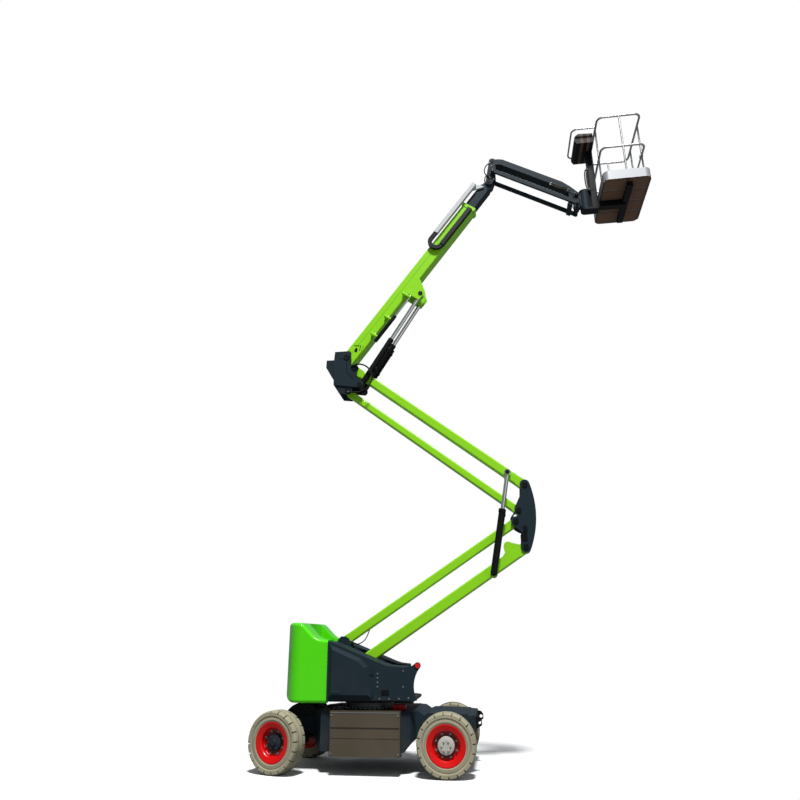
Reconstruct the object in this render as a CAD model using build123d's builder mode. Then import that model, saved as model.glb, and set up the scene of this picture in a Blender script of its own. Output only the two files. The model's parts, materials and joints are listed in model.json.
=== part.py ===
"""Articulating boom lift: four-wheel electric chassis, slewing turntable, folding riser,
telescopic boom, levelling jib and work platform.  Units are millimetres.

+X runs from the steered axle to the drive axle and on to the platform, +Y to the far side,
+Z up.  The origin lies on the ground below the slew axis.
"""
import os
from math import atan2, cos, degrees, radians, sin

from build123d import *

os.makedirs("parts", exist_ok=True)

# Fits
run_fit = 0.3            # radial play of a pin in its bore
side_gap = 5.0           # play beside a moving piece

# Wheels and axles
tyre_d = 710.0
tyre_w = 235.0
lug_count = 20
groove_w = 15.0
groove_deep = 40.0
groove_run = 62.0
rim_d = 470.0
seat_d = 440.0
dish_d = 322.0
dish_depth = 70.0
rim_w = 196.0
hub_d = 200.0
spindle_d = 90.0
overall_w = 1500.0
steer_x = -1000.0
drive_x = 1050.0
kingpin_y = 470.0
kingpin_d = 50.0
steer_rest = -17.0
axle_z = tyre_d / 2
wheel_y = overall_w / 2 - tyre_w / 2

# Chassis
deck_z = 700.0
belly_z = 250.0
chassis_front = -1200.0
nose_z = 600.0
nose_x = -690.0
hood_top = 765.0
rear_z = 655.0
chassis_rear = 1400.0
waist_y = 250.0
rear_y = 480.0
belly_y = 560.0
batt_x0 = -370.0
batt_x1 = 500.0
batt_y = 700.0
batt_z0 = 215.0
batt_z1 = 712.0
slew_d = 640.0
slew_h = 70.0

# Turntable
table_z = 800.0
table_t = 30.0
cover_y = 650.0
cover_wall = 8.0
door_bulge = 50.0
tail_x = -1090.0
seam_x = -435.0
box_end = 560.0
lamp_spot = (716.0, 1228.0)
tail_low = table_z - 10
tail_y = 640.0
tail_top = 1740.0
seam_top = 1530.0
tower_y = 80.0
tower_t = 18.0

# Riser
tower_pin = (-253.0, 1148.0)
lower_len = 2881.0
lower_deg = 33.0
lower_off = (-112.0, 352.0)
knuckle_off = (-66.0, 494.0)
upper_len = 3117.0
upper_deg = 37.7
upper_off = (106.0, 362.0)
lower_arm_h = 145.0
lower_arm_w = 150.0
lower_link_h = 120.0
lower_link_w = 100.0
upper_link_h = 105.0
upper_link_w = 120.0
upper_arm_h = 130.0
upper_arm_w = 130.0
riser_wall = 7.0
pin_r = 28.0

# Tower cylinders
tower_cyl_y = 162.0
tower_cyl_r = 45.0
tower_rod_r = 27.0
tower_boss_y = tower_cyl_y - tower_cyl_r - 5.0
tower_base = (lower_len - 568.0, -41.0)
tower_eye = (288.0, -12.0)
tower_barrel = 867.0

# Upright and main boom
upright_y = 165.0
upright_t = 20.0
boom_off = (-20.0, 545.0)
boom_deg = 53.0
boom_h = 226.0
boom_w = 200.0
boom_wall = 8.0
boom_len = 3340.0
boom_pin_r = 38.0
fly_gap = 10.0
fly_wall = 7.0
fly_tail = boom_len - 1920.0
fly_len = boom_len + 460.0
lift_y = 115.0
lift_r = 45.0
lift_rod_r = 31.0
lift_base = (211.0, -468.0)
lift_eye = (1537.0, -299.0)
lift_barrel = 900.0

# Energy chain
chain_y = -137.0
chain_w = 46.0
chain_h = 66.0
chain_top = 158.0
chain_low = -58.0
guide_end = fly_len - 94.0
guide_start = guide_end - 1116.0
chain_bend = guide_start - 130.0
tray_start = chain_bend - 60.0

# Jib
level_pin = (fly_len + 105.0, -10.0)
jib_rise = (66.0, 170.0)
jib_off = 240.0
jib_len = 1545.0
jib_deg = -31.0
jib_w = 170.0
jib_h = 105.0
link_y = 155.0
link_w = 40.0
link_h = 62.0
nose_y = 92.0
nose_t = 20.0
jib_pin_r = 22.0

# Platform
rotor_reach = 140.7
rotor_r = 85.0
plat_gap = 218.0
plat_len = 720.0
plat_w = 1180.0
plat_lift = 68.7
skirt_h = 165.0
floor_t = 30.0
corner_r = 95.0
rail_r = 17.0
tread_in = 60.0
tread_t = 4.0
rail_h = 1232.0
mid_h = 632.0
guard_reach = 385.0
guard_half = 355.0
console_w = 520.0
gate_half = 300.0
gate_hinge = 52.0 - gate_half


def spot(origin, length, angle, lift=0.0):
    """Point at a distance along a direction in the XZ plane and a lift square to it."""
    a = radians(angle)
    return (
        origin[0] + length * cos(a) - lift * sin(a),
        origin[1] + length * sin(a) + lift * cos(a),
    )


def shift(point, step):
    return (point[0] + step[0], point[1] + step[1])


# Pin centres of the folded structure, all in the XZ plane
back_deg = 180.0 - upper_deg
T1 = tower_pin
T2 = shift(T1, lower_off)
K1 = spot(T1, lower_len, lower_deg)
K2 = shift(K1, lower_off)
K3 = shift(K1, knuckle_off)
K4 = shift(K3, upper_off)
U3 = spot(K3, upper_len, back_deg)
U4 = shift(U3, upper_off)
M = shift(U3, boom_off)
LB = shift(M, lift_base)
LE = spot(M, lift_eye[0], boom_deg, lift_eye[1])
CB = spot(T1, tower_base[0], lower_deg, tower_base[1])
CE = spot(K4, tower_eye[0], back_deg, -tower_eye[1])
N = spot(M, level_pin[0], boom_deg, level_pin[1])
J2 = shift(N, jib_rise)
J1 = shift(J2, (0.0, jib_off))
E1 = spot(J1, jib_len, jib_deg)
E2 = spot(J2, jib_len, jib_deg)
lift_deg = degrees(atan2(LE[1] - LB[1], LE[0] - LB[0]))
tower_deg = degrees(atan2(CE[1] - CB[1], CE[0] - CB[0]))

# Platform places that follow the jib's end
rotor_x = E2[0] + rotor_reach
plat_x0 = rotor_x + plat_gap
plat_x1 = plat_x0 + plat_len
plat_z = E2[1] + plat_lift
rail_top = plat_z + rail_h
rail_mid = plat_z + mid_h


def side(point=(0.0, 0.0), angle=0.0, y=0.0):
    """Plane seen from the near side: local x along the angle, local y square to it, upward."""
    a = radians(angle)
    return Plane(origin=(point[0], y, point[1]), x_dir=(cos(a), 0, sin(a)), z_dir=(0, -1, 0))


def across(point, angle, along=0.0):
    """Plane square to a direction in the XZ plane: local x to the far side, local y upward."""
    a = radians(angle)
    p = spot(point, along, angle)
    return Plane(origin=(p[0], 0, p[1]), x_dir=(0, 1, 0), z_dir=(cos(a), 0, sin(a)))


def plate(points, plane, width, mode=Mode.ADD):
    """Polygon plate, its width centred on the plane."""
    with BuildSketch(plane) as outline:
        with BuildLine():
            Polyline(*points, close=True)
        make_face()
    extrude(outline.sketch, amount=width / 2, both=True, mode=mode)


def pin(point, radius, width, y=0.0, mode=Mode.ADD):
    """Round bar along Y, its width centred on y."""
    with BuildSketch(side(point, y=y)) as outline:
        Circle(radius)
    extrude(outline.sketch, amount=width / 2, both=True, mode=mode)


def lobe(p0, r0, p1, r1, plane, width):
    """Plate of two round ends and the straight sides that touch both."""
    with BuildSketch(plane) as outline:
        with Locations(p0):
            Circle(r0)
        with Locations(p1):
            Circle(r1)
        make_hull()
    extrude(outline.sketch, amount=width / 2, both=True)


def box_tube(plane, width, height, wall, length):
    """Hollow rectangular tube with rounded edges that starts at the plane."""
    with BuildSketch(plane) as outline:
        RectangleRounded(width, height, 3 * wall)
        RectangleRounded(width - 2 * wall, height - 2 * wall, 2 * wall, mode=Mode.SUBTRACT)
    extrude(outline.sketch, amount=length)


def rod_between(p, angle, start, end, radius, y=0.0, mode=Mode.ADD):
    """Round bar along a direction in the XZ plane."""
    a = radians(angle)
    q = spot(p, start, angle)
    base = Plane(origin=(q[0], y, q[1]), x_dir=(0, 1, 0), z_dir=(cos(a), 0, sin(a)))
    with BuildSketch(base) as outline:
        Circle(radius)
    extrude(outline.sketch, amount=end - start, mode=mode)


def write(part, name):
    part.label = name
    export_step(part, f"parts/{name}.step")


def wheel_spot(kind, sign):
    """Centre and turn of a wheel: steered wheels stand turned about their kingpins."""
    if kind == "drive":
        return Location((drive_x, sign * wheel_y, axle_z), (0, 0, 0 if sign < 0 else 180))
    reach = wheel_y - kingpin_y
    a = radians(steer_rest)
    x = steer_x - sign * reach * sin(a)
    y = sign * (kingpin_y + reach * cos(a))
    return Location((x, y, axle_z), (0, 0, steer_rest if sign < 0 else steer_rest + 180))


# Wheel pieces are drawn about Y through the origin with the outer face toward -Y
wheel_plane = Plane(origin=(0, 0, 0), x_dir=(1, 0, 0), z_dir=(0, 0, 1))


def make_tyre():
    """Solid tyre: stepped sidewalls and a ring of shoulder lugs on each side."""
    half = tyre_w / 2
    crown = tyre_d / 2
    seat = seat_d / 2 + run_fit
    lip = rim_d / 2 + run_fit
    bead = rim_w / 2 - run_fit
    lug_foot = crown - groove_deep - 14
    flank = [
        (seat, bead - 12), (lip, bead - 4), (lip, bead + 8), (lip + 16, half - 5), (lug_foot - 12, half - 9),
        (lug_foot, half), (crown - 18, half), (crown - 5, half - 14), (crown, half - 38),
    ]
    with BuildPart() as tyre:
        with BuildSketch(wheel_plane):
            with BuildLine():
                Polyline(*flank, *[(r, -y) for r, y in reversed(flank)], close=True)
            make_face()
        revolve(axis=Axis.Y)
        # Grooves between the lugs, half a pitch apart on the two sides
        for sign in (-1, 1):
            with BuildSketch(Plane.XZ.offset(sign * half)):
                with PolarLocations(crown, lug_count, start_angle=90 * sign / lug_count):
                    Rectangle(2 * groove_deep, groove_w)
            extrude(amount=-sign * groove_run, mode=Mode.SUBTRACT)
    return tyre.part


def make_rim():
    half = rim_w / 2
    seat = seat_d / 2
    lip = rim_d / 2
    web = -half + dish_depth
    bore = hub_d / 2 - 20 + run_fit
    with BuildPart() as rim:
        with BuildSketch(wheel_plane):
            with BuildLine():
                Polyline(
                    (bore, web), (dish_d / 2 - 6, web), (dish_d / 2, web - 6), (dish_d / 2, -half + 22),
                    (dish_d / 2 + 10, -half + 10), (lip - 12, -half - 8), (lip, -half - 4), (lip, -half + 4),
                    (seat, -half + 12), (seat, half - 12), (lip, half - 4), (lip, half + 4),
                    (lip - 12, half + 6), (seat - 16, half - 14), (seat - 16, web + 30), (dish_d / 2 - 6, web + 14),
                    (bore, web + 14), close=True,
                )
            make_face()
        revolve(axis=Axis.Y)
    return rim.part


def make_hub(kind):
    """Hub that fills the rim's bore and runs on the spindle behind it."""
    half = rim_w / 2
    web = -half + dish_depth
    nose = hub_d / 2 - 20
    with BuildPart() as hub:
        with BuildSketch(wheel_plane):
            with BuildLine():
                if kind == "drive":
                    Polyline(
                        (0, -half + 2), (nose - 14, -half + 2), (nose + 16, -half + 10), (nose + 20, -half + 18),
                        (nose + 20, web - run_fit), (nose, web - run_fit), (nose, web + 14 + run_fit),
                        (nose + 26, web + 14 + run_fit), (nose + 26, half - 8), (spindle_d / 2 + run_fit, half - 8),
                        (spindle_d / 2 + run_fit, web + 40), (0, web + 40), close=True,
                    )
                else:
                    Polyline(
                        (0, -half + 18), (34, -half + 18), (40, -half + 24), (40, -half + 40),
                        (nose + 10, -half + 46), (nose + 16, -half + 52), (nose + 16, web - run_fit),
                        (nose, web - run_fit), (nose, web + 14 + run_fit), (nose + 22, web + 14 + run_fit),
                        (nose + 22, half - 8), (spindle_d / 2 + run_fit, half - 8),
                        (spindle_d / 2 + run_fit, web + 40), (0, web + 40), close=True,
                    )
            make_face()
        revolve(axis=Axis.Y)
    return hub.part


wheel_names = {("steer", -1): "steer_near", ("steer", 1): "steer_far",
               ("drive", -1): "drive_near", ("drive", 1): "drive_far"}
plain_tyre = make_tyre()
plain_rim = make_rim()
for (kind, sign), place in wheel_names.items():
    where = wheel_spot(kind, sign)
    write(where * plain_tyre, f"tyre_{place}")
    write(where * plain_rim, f"rim_{place}")
    write(where * make_hub(kind), f"hub_{place}")

# Spindle face inside the hub, measured from the wheel's middle toward the chassis
hub_inner = rim_w / 2 - 8
spindle_tip = rim_w / 2 - dish_depth - 40 - run_fit


def make_steer_knuckle(sign):
    """Upright barrel round the kingpin with the wheel's spindle, turned with the wheel."""
    reach = wheel_y - kingpin_y
    with BuildPart() as knuckle:
        with BuildSketch(Plane.XY.offset(axle_z - 95)):
            Circle(62)
        extrude(amount=190)
        with BuildSketch(Plane.XY.offset(axle_z - 150)):
            Circle(kingpin_d / 2)
        extrude(amount=300)
        with BuildSketch(Plane(origin=(0, 0, axle_z), x_dir=(1, 0, 0), z_dir=(0, -1, 0))):
            Circle(spindle_d / 2)
        extrude(amount=reach + spindle_tip)
        with BuildSketch(Plane(origin=(0, -30, axle_z), x_dir=(1, 0, 0), z_dir=(0, -1, 0))):
            Circle(70)
        extrude(amount=reach - hub_inner - side_gap - 30)
    turn = steer_rest if sign < 0 else steer_rest + 180
    return Location((steer_x, sign * kingpin_y, 0), (0, 0, turn)) * knuckle.part


write(make_steer_knuckle(-1), "steer_knuckle_near")
write(make_steer_knuckle(1), "steer_knuckle_far")

with BuildPart() as steer_axle:
    beam_y = kingpin_y - 75
    with BuildSketch(Plane.XZ.offset(-beam_y)):
        with Locations((steer_x, axle_z)):
            RectangleRounded(150, 170, 30)
    extrude(amount=2 * beam_y)
    for level in (-1, 1):
        for sign in (-1, 1):
            with BuildSketch(Plane.XY.offset(axle_z + level * 120 - 20)):
                with Locations((steer_x, sign * kingpin_y)):
                    Circle(58)
                with Locations((steer_x, sign * (kingpin_y - 110))):
                    Circle(58)
                make_hull()
            extrude(amount=40)
    for sign in (-1, 1):
        with Locations((steer_x, sign * (kingpin_y - 107), axle_z)):
            Box(110, 66, 270)
        with BuildSketch(Plane.XY.offset(axle_z - 200)):
            with Locations((steer_x, sign * kingpin_y)):
                Circle(kingpin_d / 2 + run_fit)
        extrude(amount=400, mode=Mode.SUBTRACT)
write(steer_axle.part, "steer_axle")

with BuildPart() as drive_axle:
    drum_y = wheel_y - hub_inner - side_gap
    with BuildSketch(Plane.XZ.offset(-(wheel_y + spindle_tip))):
        with Locations((drive_x, axle_z)):
            Circle(spindle_d / 2)
    extrude(amount=2 * (wheel_y + spindle_tip))
    with BuildSketch(Plane.XZ.offset(-drum_y)):
        with Locations((drive_x, axle_z)):
            Circle(105)
    extrude(amount=2 * drum_y)
write(drive_axle.part, "drive_axle")

chassis_plan = [
    (chassis_front, waist_y), (-690, waist_y), (-560, belly_y - 150), (-515, belly_y), (610, belly_y),
    (665, rear_y), (chassis_rear - 60, rear_y), (chassis_rear, rear_y - 60),
]

with BuildPart() as chassis_frame:
    with BuildSketch(Plane.XY.offset(belly_z)):
        with BuildLine():
            Polyline(*chassis_plan, *[(x, -y) for x, y in reversed(chassis_plan)], close=True)
        make_face()
    extrude(amount=deck_z - belly_z)
    # Curved belly that rises to both ends
    with BuildSketch(side()):
        with BuildLine():
            Line((chassis_front - 10, belly_z - 10), (chassis_front - 10, 450))
            Line((chassis_front - 10, 450), (-820, 450))
            ThreePointArc((-820, 450), (-700, 405), (-600, belly_z - 10))
            Line((-600, belly_z - 10), (chassis_front - 10, belly_z - 10))
        make_face()
    extrude(amount=belly_y + 50, both=True, mode=Mode.SUBTRACT)
    with BuildSketch(side()):
        with BuildLine():
            Line((520, belly_z - 10), (chassis_rear + 10, belly_z - 10))
            Line((chassis_rear + 10, belly_z - 10), (chassis_rear + 10, 470))
            Line((chassis_rear + 10, 470), (920, 470))
            ThreePointArc((920, 470), (700, 410), (520, belly_z - 10))
        make_face()
    extrude(amount=belly_y + 50, both=True, mode=Mode.SUBTRACT)
    # Deck that falls away to both ends
    plate([(chassis_front - 10, nose_z), (nose_x, nose_z), (nose_x + 70, deck_z), (nose_x + 70, deck_z + 10),
           (chassis_front - 10, deck_z + 10)], side(), 3 * belly_y, mode=Mode.SUBTRACT)
    plate([(700, deck_z + 10), (700, deck_z), (770, rear_z), (chassis_rear + 10, rear_z),
           (chassis_rear + 10, deck_z + 10)], side(), 3 * belly_y, mode=Mode.SUBTRACT)
    plate([(760, rear_z - 5), (830, rear_z + 22), (1300, rear_z + 14), (1385, rear_z - 40)], side(),
          2 * rear_y - 60)
    # Axle carriers
    with Locations((steer_x, 0, 470)):
        Box(170, 2 * waist_y - 40, 60)
    for sign in (-1, 1):
        with Locations((drive_x, sign * 300, 440)):
            Box(190, 60, 100)
    with BuildSketch(side((steer_x, axle_z))):
        RectangleRounded(150 + 2 * run_fit, 170 + 2 * run_fit, 30)
    extrude(amount=600, both=True, mode=Mode.SUBTRACT)
    pin((drive_x, axle_z), 105 + run_fit, 1200, mode=Mode.SUBTRACT)
write(chassis_frame.part, "chassis_frame")

with BuildPart() as steer_hood:
    with BuildSketch(side()):
        with BuildLine():
            Line((-1085, nose_z + run_fit), (nose_x, nose_z + run_fit))
            Line((nose_x, nose_z + run_fit), (nose_x + 60, deck_z + run_fit))
            ThreePointArc((nose_x + 60, deck_z + run_fit), (-720, hood_top - 8), (-830, hood_top))
            ThreePointArc((-830, hood_top), (-985, hood_top - 42), (-1085, nose_z + run_fit))
        make_face()
    extrude(amount=waist_y, both=True)
    fillet(steer_hood.edges().filter_by(GeomType.CIRCLE), 28)
write(steer_hood.part, "steer_hood")

with BuildPart() as battery_boxes:
    for sign in (-1, 1):
        depth = batt_y - belly_y - run_fit
        with Locations(((batt_x0 + batt_x1) / 2, sign * (batt_y - depth / 2), (batt_z0 + batt_z1) / 2)):
            Box(batt_x1 - batt_x0, depth, batt_z1 - batt_z0)
    chamfer(battery_boxes.edges().filter_by(Axis.Z).filter_by(lambda e: abs(e.center().Y) > batt_y - 5), 14)
    # Crease where the lid meets the lower panel, and a lip under the lid
    for sign in (-1, 1):
        for z, deep, tall in ((batt_z1 - 190, 10, 26), (batt_z1 - 300, 4, 8)):
            with Locations(((batt_x0 + batt_x1) / 2, sign * batt_y, z)):
                Box(batt_x1 - batt_x0 + 10, 2 * deep, tall, mode=Mode.SUBTRACT)
write(battery_boxes.part, "battery_boxes")

with BuildPart() as slew_ring:
    with BuildSketch(Plane.XY.offset(deck_z + run_fit)):
        Circle(slew_d / 2)
        Circle(slew_d / 2 - 90, mode=Mode.SUBTRACT)
    extrude(amount=slew_h - run_fit)
write(slew_ring.part, "slew_ring")

lug_hole_r = 20.0
lug_t = 22.0
with BuildPart() as tie_down_lugs:
    for sign in (-1, 1):
        y = sign * (rear_y - 130)
        with BuildSketch(side((chassis_rear + run_fit, 560), y=y)):
            with BuildLine():
                Polyline((0, -70), (35, -45), (70, -20), (70, 35), (45, 70), (0, 80), close=True)
            make_face()
            with Locations((40, 10)):
                Circle(lug_hole_r, mode=Mode.SUBTRACT)
        extrude(amount=lug_t / 2, both=True)
        y = sign * (waist_y - 60)
        with BuildSketch(Plane(origin=(chassis_front - run_fit, y, nose_z - 80))):
            with BuildLine():
                Polyline((0, -58), (-35, -50), (-70, -28), (-70, 28), (-35, 50), (0, 58), close=True)
            make_face()
            with Locations((-40, 0)):
                Circle(lug_hole_r, mode=Mode.SUBTRACT)
        extrude(amount=lug_t / 2, both=True)
write(tie_down_lugs.part, "tie_down_lugs")

with BuildPart() as turntable_frame:
    with BuildSketch(Plane.XY.offset(deck_z + slew_h + run_fit)):
        Circle(slew_d / 2 - 15)
    extrude(amount=table_z - deck_z - slew_h)
    with BuildSketch(Plane.XY.offset(table_z)):
        with BuildLine():
            Polyline((seam_x - 150, -330), (seam_x + 10, -520), (560, -520), (640, -420),
                     (640, 420), (560, 520), (seam_x + 10, 520), (seam_x - 150, 330), close=True)
        make_face()
    extrude(amount=table_t)
    for sign in (-1, 1):
        y = sign * (tower_y + tower_t / 2)
        plate([(-560, table_z + 20), (120, table_z + 20), (60, 900), (-160, 1120), (-190, 1260),
               (-280, 1545), (-330, 1572), (-390, 1572), (-430, 1530), (-560, 1100)],
              side(y=y), tower_t)
    pin(T1, pin_r, 2 * (tower_y + 10))
    pin(T2, pin_r, 2 * (tower_y + 10))
write(turntable_frame.part, "turntable_frame")

box_line = [(seam_x + 4, table_z + table_t), (seam_x + 4, 1512), (-380, 1500), (250, 1250), (338, 1222)]
box_inner = [
    (seam_x + 4 + cover_wall, table_z), (seam_x + 4 + cover_wall, 1500), (-382, 1489), (247, 1239), (336, 1211),
]
door_line = [
    (seam_x + 30, 850), (seam_x + 30, 1478), (-375, 1462), (-5, 1312), (92, 1222), (150, 850),
]
hinge_r = 8.0
door_hinge = (155.0, cover_y + hinge_r + 2 * run_fit)
trough_y = 200.0

with BuildPart() as side_covers:
    for sign, end in ((-1, box_end), (1, box_end - 90)):
        mid = sign * (cover_y + trough_y) / 2
        plate(box_line + [(end, 1206), (end, table_z + table_t)], side(y=mid), cover_y - trough_y)
        inner_end = end - cover_wall
        plate(box_inner + [(inner_end, 1195), (inner_end, table_z)], side(y=mid),
              cover_y - trough_y - 2 * cover_wall, mode=Mode.SUBTRACT)
    # Near sheet that runs on past the box to a rounded lamp tip
    with BuildSketch(side(y=-(cover_y - cover_wall / 2))):
        with BuildLine():
            Line((box_end - 40, table_z + table_t), (box_end - 40, 1206))
            ThreePointArc((box_end - 40, 1206), (610, 1213), (lamp_spot[0] - 24, lamp_spot[1] + 30))
            ThreePointArc((lamp_spot[0] - 24, lamp_spot[1] + 30), (lamp_spot[0] + 28, lamp_spot[1] + 26),
                          (lamp_spot[0] + 28, lamp_spot[1] - 26))
            ThreePointArc((lamp_spot[0] + 28, lamp_spot[1] - 26), (668, 1020), (706, table_z + table_t))
            Line((706, table_z + table_t), (box_end - 40, table_z + table_t))
        make_face()
    extrude(amount=cover_wall / 2, both=True)
    for sign in (-1, 1):
        plate([(x + 10 if x < -300 else x - 10, z + 12 if z < 900 else z - 12) for x, z in door_line],
              side(y=sign * cover_y), 40, mode=Mode.SUBTRACT)
write(side_covers.part, "side_covers")


def make_door(sign):
    """Raised pressed panel, hollow behind, with a sloping border."""
    with BuildPart() as door:
        outer = side(y=sign * (cover_y + run_fit))
        with BuildSketch(outer):
            with BuildLine():
                Polyline(*door_line, close=True)
            make_face()
        extrude(amount=-sign * door_bulge, taper=40)
        with BuildSketch(outer):
            with BuildLine():
                Polyline(*door_line, close=True)
            make_face()
            offset(amount=-9, mode=Mode.REPLACE)
        extrude(amount=-sign * (door_bulge - 6), taper=40, mode=Mode.SUBTRACT)
        # Hinge barrels with their leaves
        for z, leaf in ((880, 30), (1120, 70)):
            with BuildSketch(Plane.XY.offset(z)):
                with Locations((door_hinge[0], sign * door_hinge[1])):
                    Circle(hinge_r)
                with Locations((door_hinge[0] - leaf / 2, sign * (cover_y + run_fit + 3))):
                    Rectangle(leaf, 6)
            extrude(amount=60)
    return door.part


write(make_door(-1), "hood_door_near")
write(make_door(1), "hood_door_far")

with BuildPart() as marker_lamps:
    pin(lamp_spot, 29, 10, y=-(cover_y + 5 + run_fit))
    pin((box_end - 150, 1130), 29, 10, y=cover_y + 5 + run_fit)
write(marker_lamps.part, "marker_lamps")

with BuildPart() as power_unit:
    for sign in (-1, 1):
        with Locations((-120, sign * 400, table_z + table_t + run_fit + 130)):
            Box(440, 260, 260)
write(power_unit.part, "power_unit")

with BuildPart() as counterweight:
    with BuildSketch(Plane.XY.offset(tail_low)) as plan:
        Circle(-tail_x)
        with Locations((tail_x, 0)):
            Rectangle(2 * (seam_x - tail_x), 2 * tail_y, mode=Mode.INTERSECT)
        fillet(plan.vertices().filter_by(lambda v: v.X < seam_x - 50), 190)
    extrude(amount=tail_top - tail_low + 50)
    # Side shape: crown that falls in a double curve to the seam, tail tucked up below
    tail_line = [
        (seam_x, tail_low, 0), (seam_x, seam_top, 0), (-590, seam_top + 12, 230), (-790, tail_top, 110),
        (tail_x - 5, tail_top + 4, 120), (tail_x - 5, tail_low, 210),
    ]
    with BuildSketch(side()) as profile:
        with BuildLine():
            Polyline(*[(x, z) for x, z, r in tail_line], close=True)
        make_face()
        for x, z, r in tail_line[2:]:
            fillet(profile.vertices().sort_by_distance((x, z, 0))[0], r)
    extrude(amount=tail_y + 60, both=True, mode=Mode.INTERSECT)
    rim = counterweight.edges().filter_by(lambda e: e.center().Z > seam_top - 5 and abs(e.center().Y) > 100)
    fillet(rim, 40)
    foot = counterweight.edges().filter_by(lambda e: e.center().Z < tail_low + 150 and abs(e.center().Y) > 100)
    fillet(foot, 40)
    # Hollow round the folded arms
    with BuildSketch(Plane.XY.offset(1180)):
        with BuildLine():
            Polyline((seam_x + 20, -330), (seam_x + 20, 330), (-760, 300))
            ThreePointArc((-760, 300), (-850, 0), (-760, -300))
            Line((-760, -300), (seam_x + 20, -330))
        make_face()
    extrude(amount=700, mode=Mode.SUBTRACT)
    plate([(seam_x + 20, table_z), (-620, table_z), (-620, 1250), (seam_x + 20, 1250)], side(),
          2 * (tower_y + tower_t) + 30, mode=Mode.SUBTRACT)
    with BuildSketch(Plane.XY.offset(table_z - 20)):
        with BuildLine():
            Polyline((seam_x + 20, -540), (seam_x - 10, -540), (seam_x - 160, -345), (seam_x - 160, 345),
                     (seam_x - 10, 540), (seam_x + 20, 540), close=True)
        make_face()
    extrude(amount=table_t + 20 + run_fit, mode=Mode.SUBTRACT)
write(counterweight.part, "counterweight")


def make_arm(start, angle, length, width, height, far_end_r, near_end_r):
    """Hollow riser arm with solid round eyes at both pins."""
    with BuildPart() as arm:
        box_tube(across(start, angle, near_end_r * 0.7), width, height, riser_wall,
                 length - 0.7 * (near_end_r + far_end_r))
        end = spot(start, length, angle)
        for point, radius, step in ((start, near_end_r, near_end_r), (end, far_end_r, -far_end_r)):
            lobe((0, 0), radius, (1.4 * step, 0), height / 2 - 4, side(point, angle), width)
            pin(point, pin_r + run_fit, width + 10, mode=Mode.SUBTRACT)
    return arm.part


with BuildPart() as riser_lower_arm:
    add(make_arm(T1, lower_deg, lower_len, lower_arm_w, lower_arm_h, 74, 80))
    for sign in (-1, 1):
        y = sign * (lower_arm_w / 2 - 8)
        horn = [(-441, 60), (-341, 72), (-281, 96), (-241, 185), (-211, 205), (-166, 200), (-136, 160),
                (-91, 110), (-41, 60)]
        plate([(lower_len + x, z) for x, z in horn], side(T1, lower_deg, y), 16)
        inner = lower_arm_w / 2 - 2
        outer = tower_cyl_y + tower_cyl_r + 4
        pin(CB, 50, tower_boss_y - inner, y=sign * (tower_boss_y + inner) / 2)
        pin(CB, 24, outer - inner, y=sign * (outer + inner) / 2)
    pin(spot(T1, lower_len - 191, lower_deg, 168), 16, lower_arm_w)
write(riser_lower_arm.part, "riser_lower_arm")

write(make_arm(T2, lower_deg, lower_len, lower_link_w, lower_link_h, 58, 62), "riser_lower_link")
write(make_arm(K3, back_deg, upper_len, upper_link_w, upper_link_h, 52, 52), "riser_upper_link")

with BuildPart() as riser_upper_arm:
    add(make_arm(K4, back_deg, upper_len, upper_arm_w, upper_arm_h, 62, 66))
    for sign in (-1, 1):
        inner = upper_arm_w / 2 - 2
        pin(CE, 48, tower_boss_y - inner, y=sign * (tower_boss_y + inner) / 2)
write(riser_upper_arm.part, "riser_upper_arm")

with BuildPart() as riser_knuckle:
    for sign in (-1, 1):
        y = sign * (tower_y + tower_t / 2)
        with BuildSketch(side(K1, y=y)):
            with BuildLine():
                Line((-62, -40), (-72, 30))
                Line((-72, 30), (-40, 190))
                Line((-40, 190), (-165, 300))
                ThreePointArc((-165, 300), (-182, 352), (-160, 405))
                Line((-160, 405), (-60, 428))
                Line((-60, 428), (-128, 490))
                Line((-128, 490), (-122, 540))
                Line((-122, 540), (-40, 700))
                Line((-40, 700), (-30, 860))
                ThreePointArc((-30, 860), (35, 930), (105, 875))
                ThreePointArc((105, 875), (165, 420), (68, -30))
                ThreePointArc((68, -30), (0, -80), (-62, -40))
            make_face()
        extrude(amount=tower_t / 2, both=True)
    for centre in (K1, K2, K3, K4):
        pin(centre, pin_r, 2 * (tower_y + tower_t) + 12)
    plate([(95, 120), (115, 250), (125, 420), (118, 600), (95, 760), (80, 760), (103, 600), (110, 420),
           (100, 250), (80, 120)], side(K1), 2 * tower_y + 10)
write(riser_knuckle.part, "riser_knuckle")

with BuildPart() as tower_barrels:
    for sign in (-1, 1):
        y = sign * tower_cyl_y
        rod_between(CB, tower_deg, 20, tower_barrel, tower_cyl_r, y)
        rod_between(CB, tower_deg, tower_barrel - 45, tower_barrel, tower_cyl_r + 6, y)
        pin(CB, 46, 2 * tower_cyl_r - 4, y)
    for sign in (-1, 1):
        y = sign * tower_cyl_y
        pin(CB, 24 + run_fit, 200, y, mode=Mode.SUBTRACT)
        rod_between(CB, tower_deg, 70, tower_barrel + 10, tower_rod_r + run_fit, y, mode=Mode.SUBTRACT)
write(tower_barrels.part, "tower_cylinder_barrels")

with BuildPart() as tower_rods:
    for sign in (-1, 1):
        y = sign * tower_cyl_y
        rod_between(CE, tower_deg, 12 - tower_barrel, -20, tower_rod_r, y)
        pin(CE, 44, 2 * tower_cyl_r - 4, y)
write(tower_rods.part, "tower_cylinder_rods")

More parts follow.
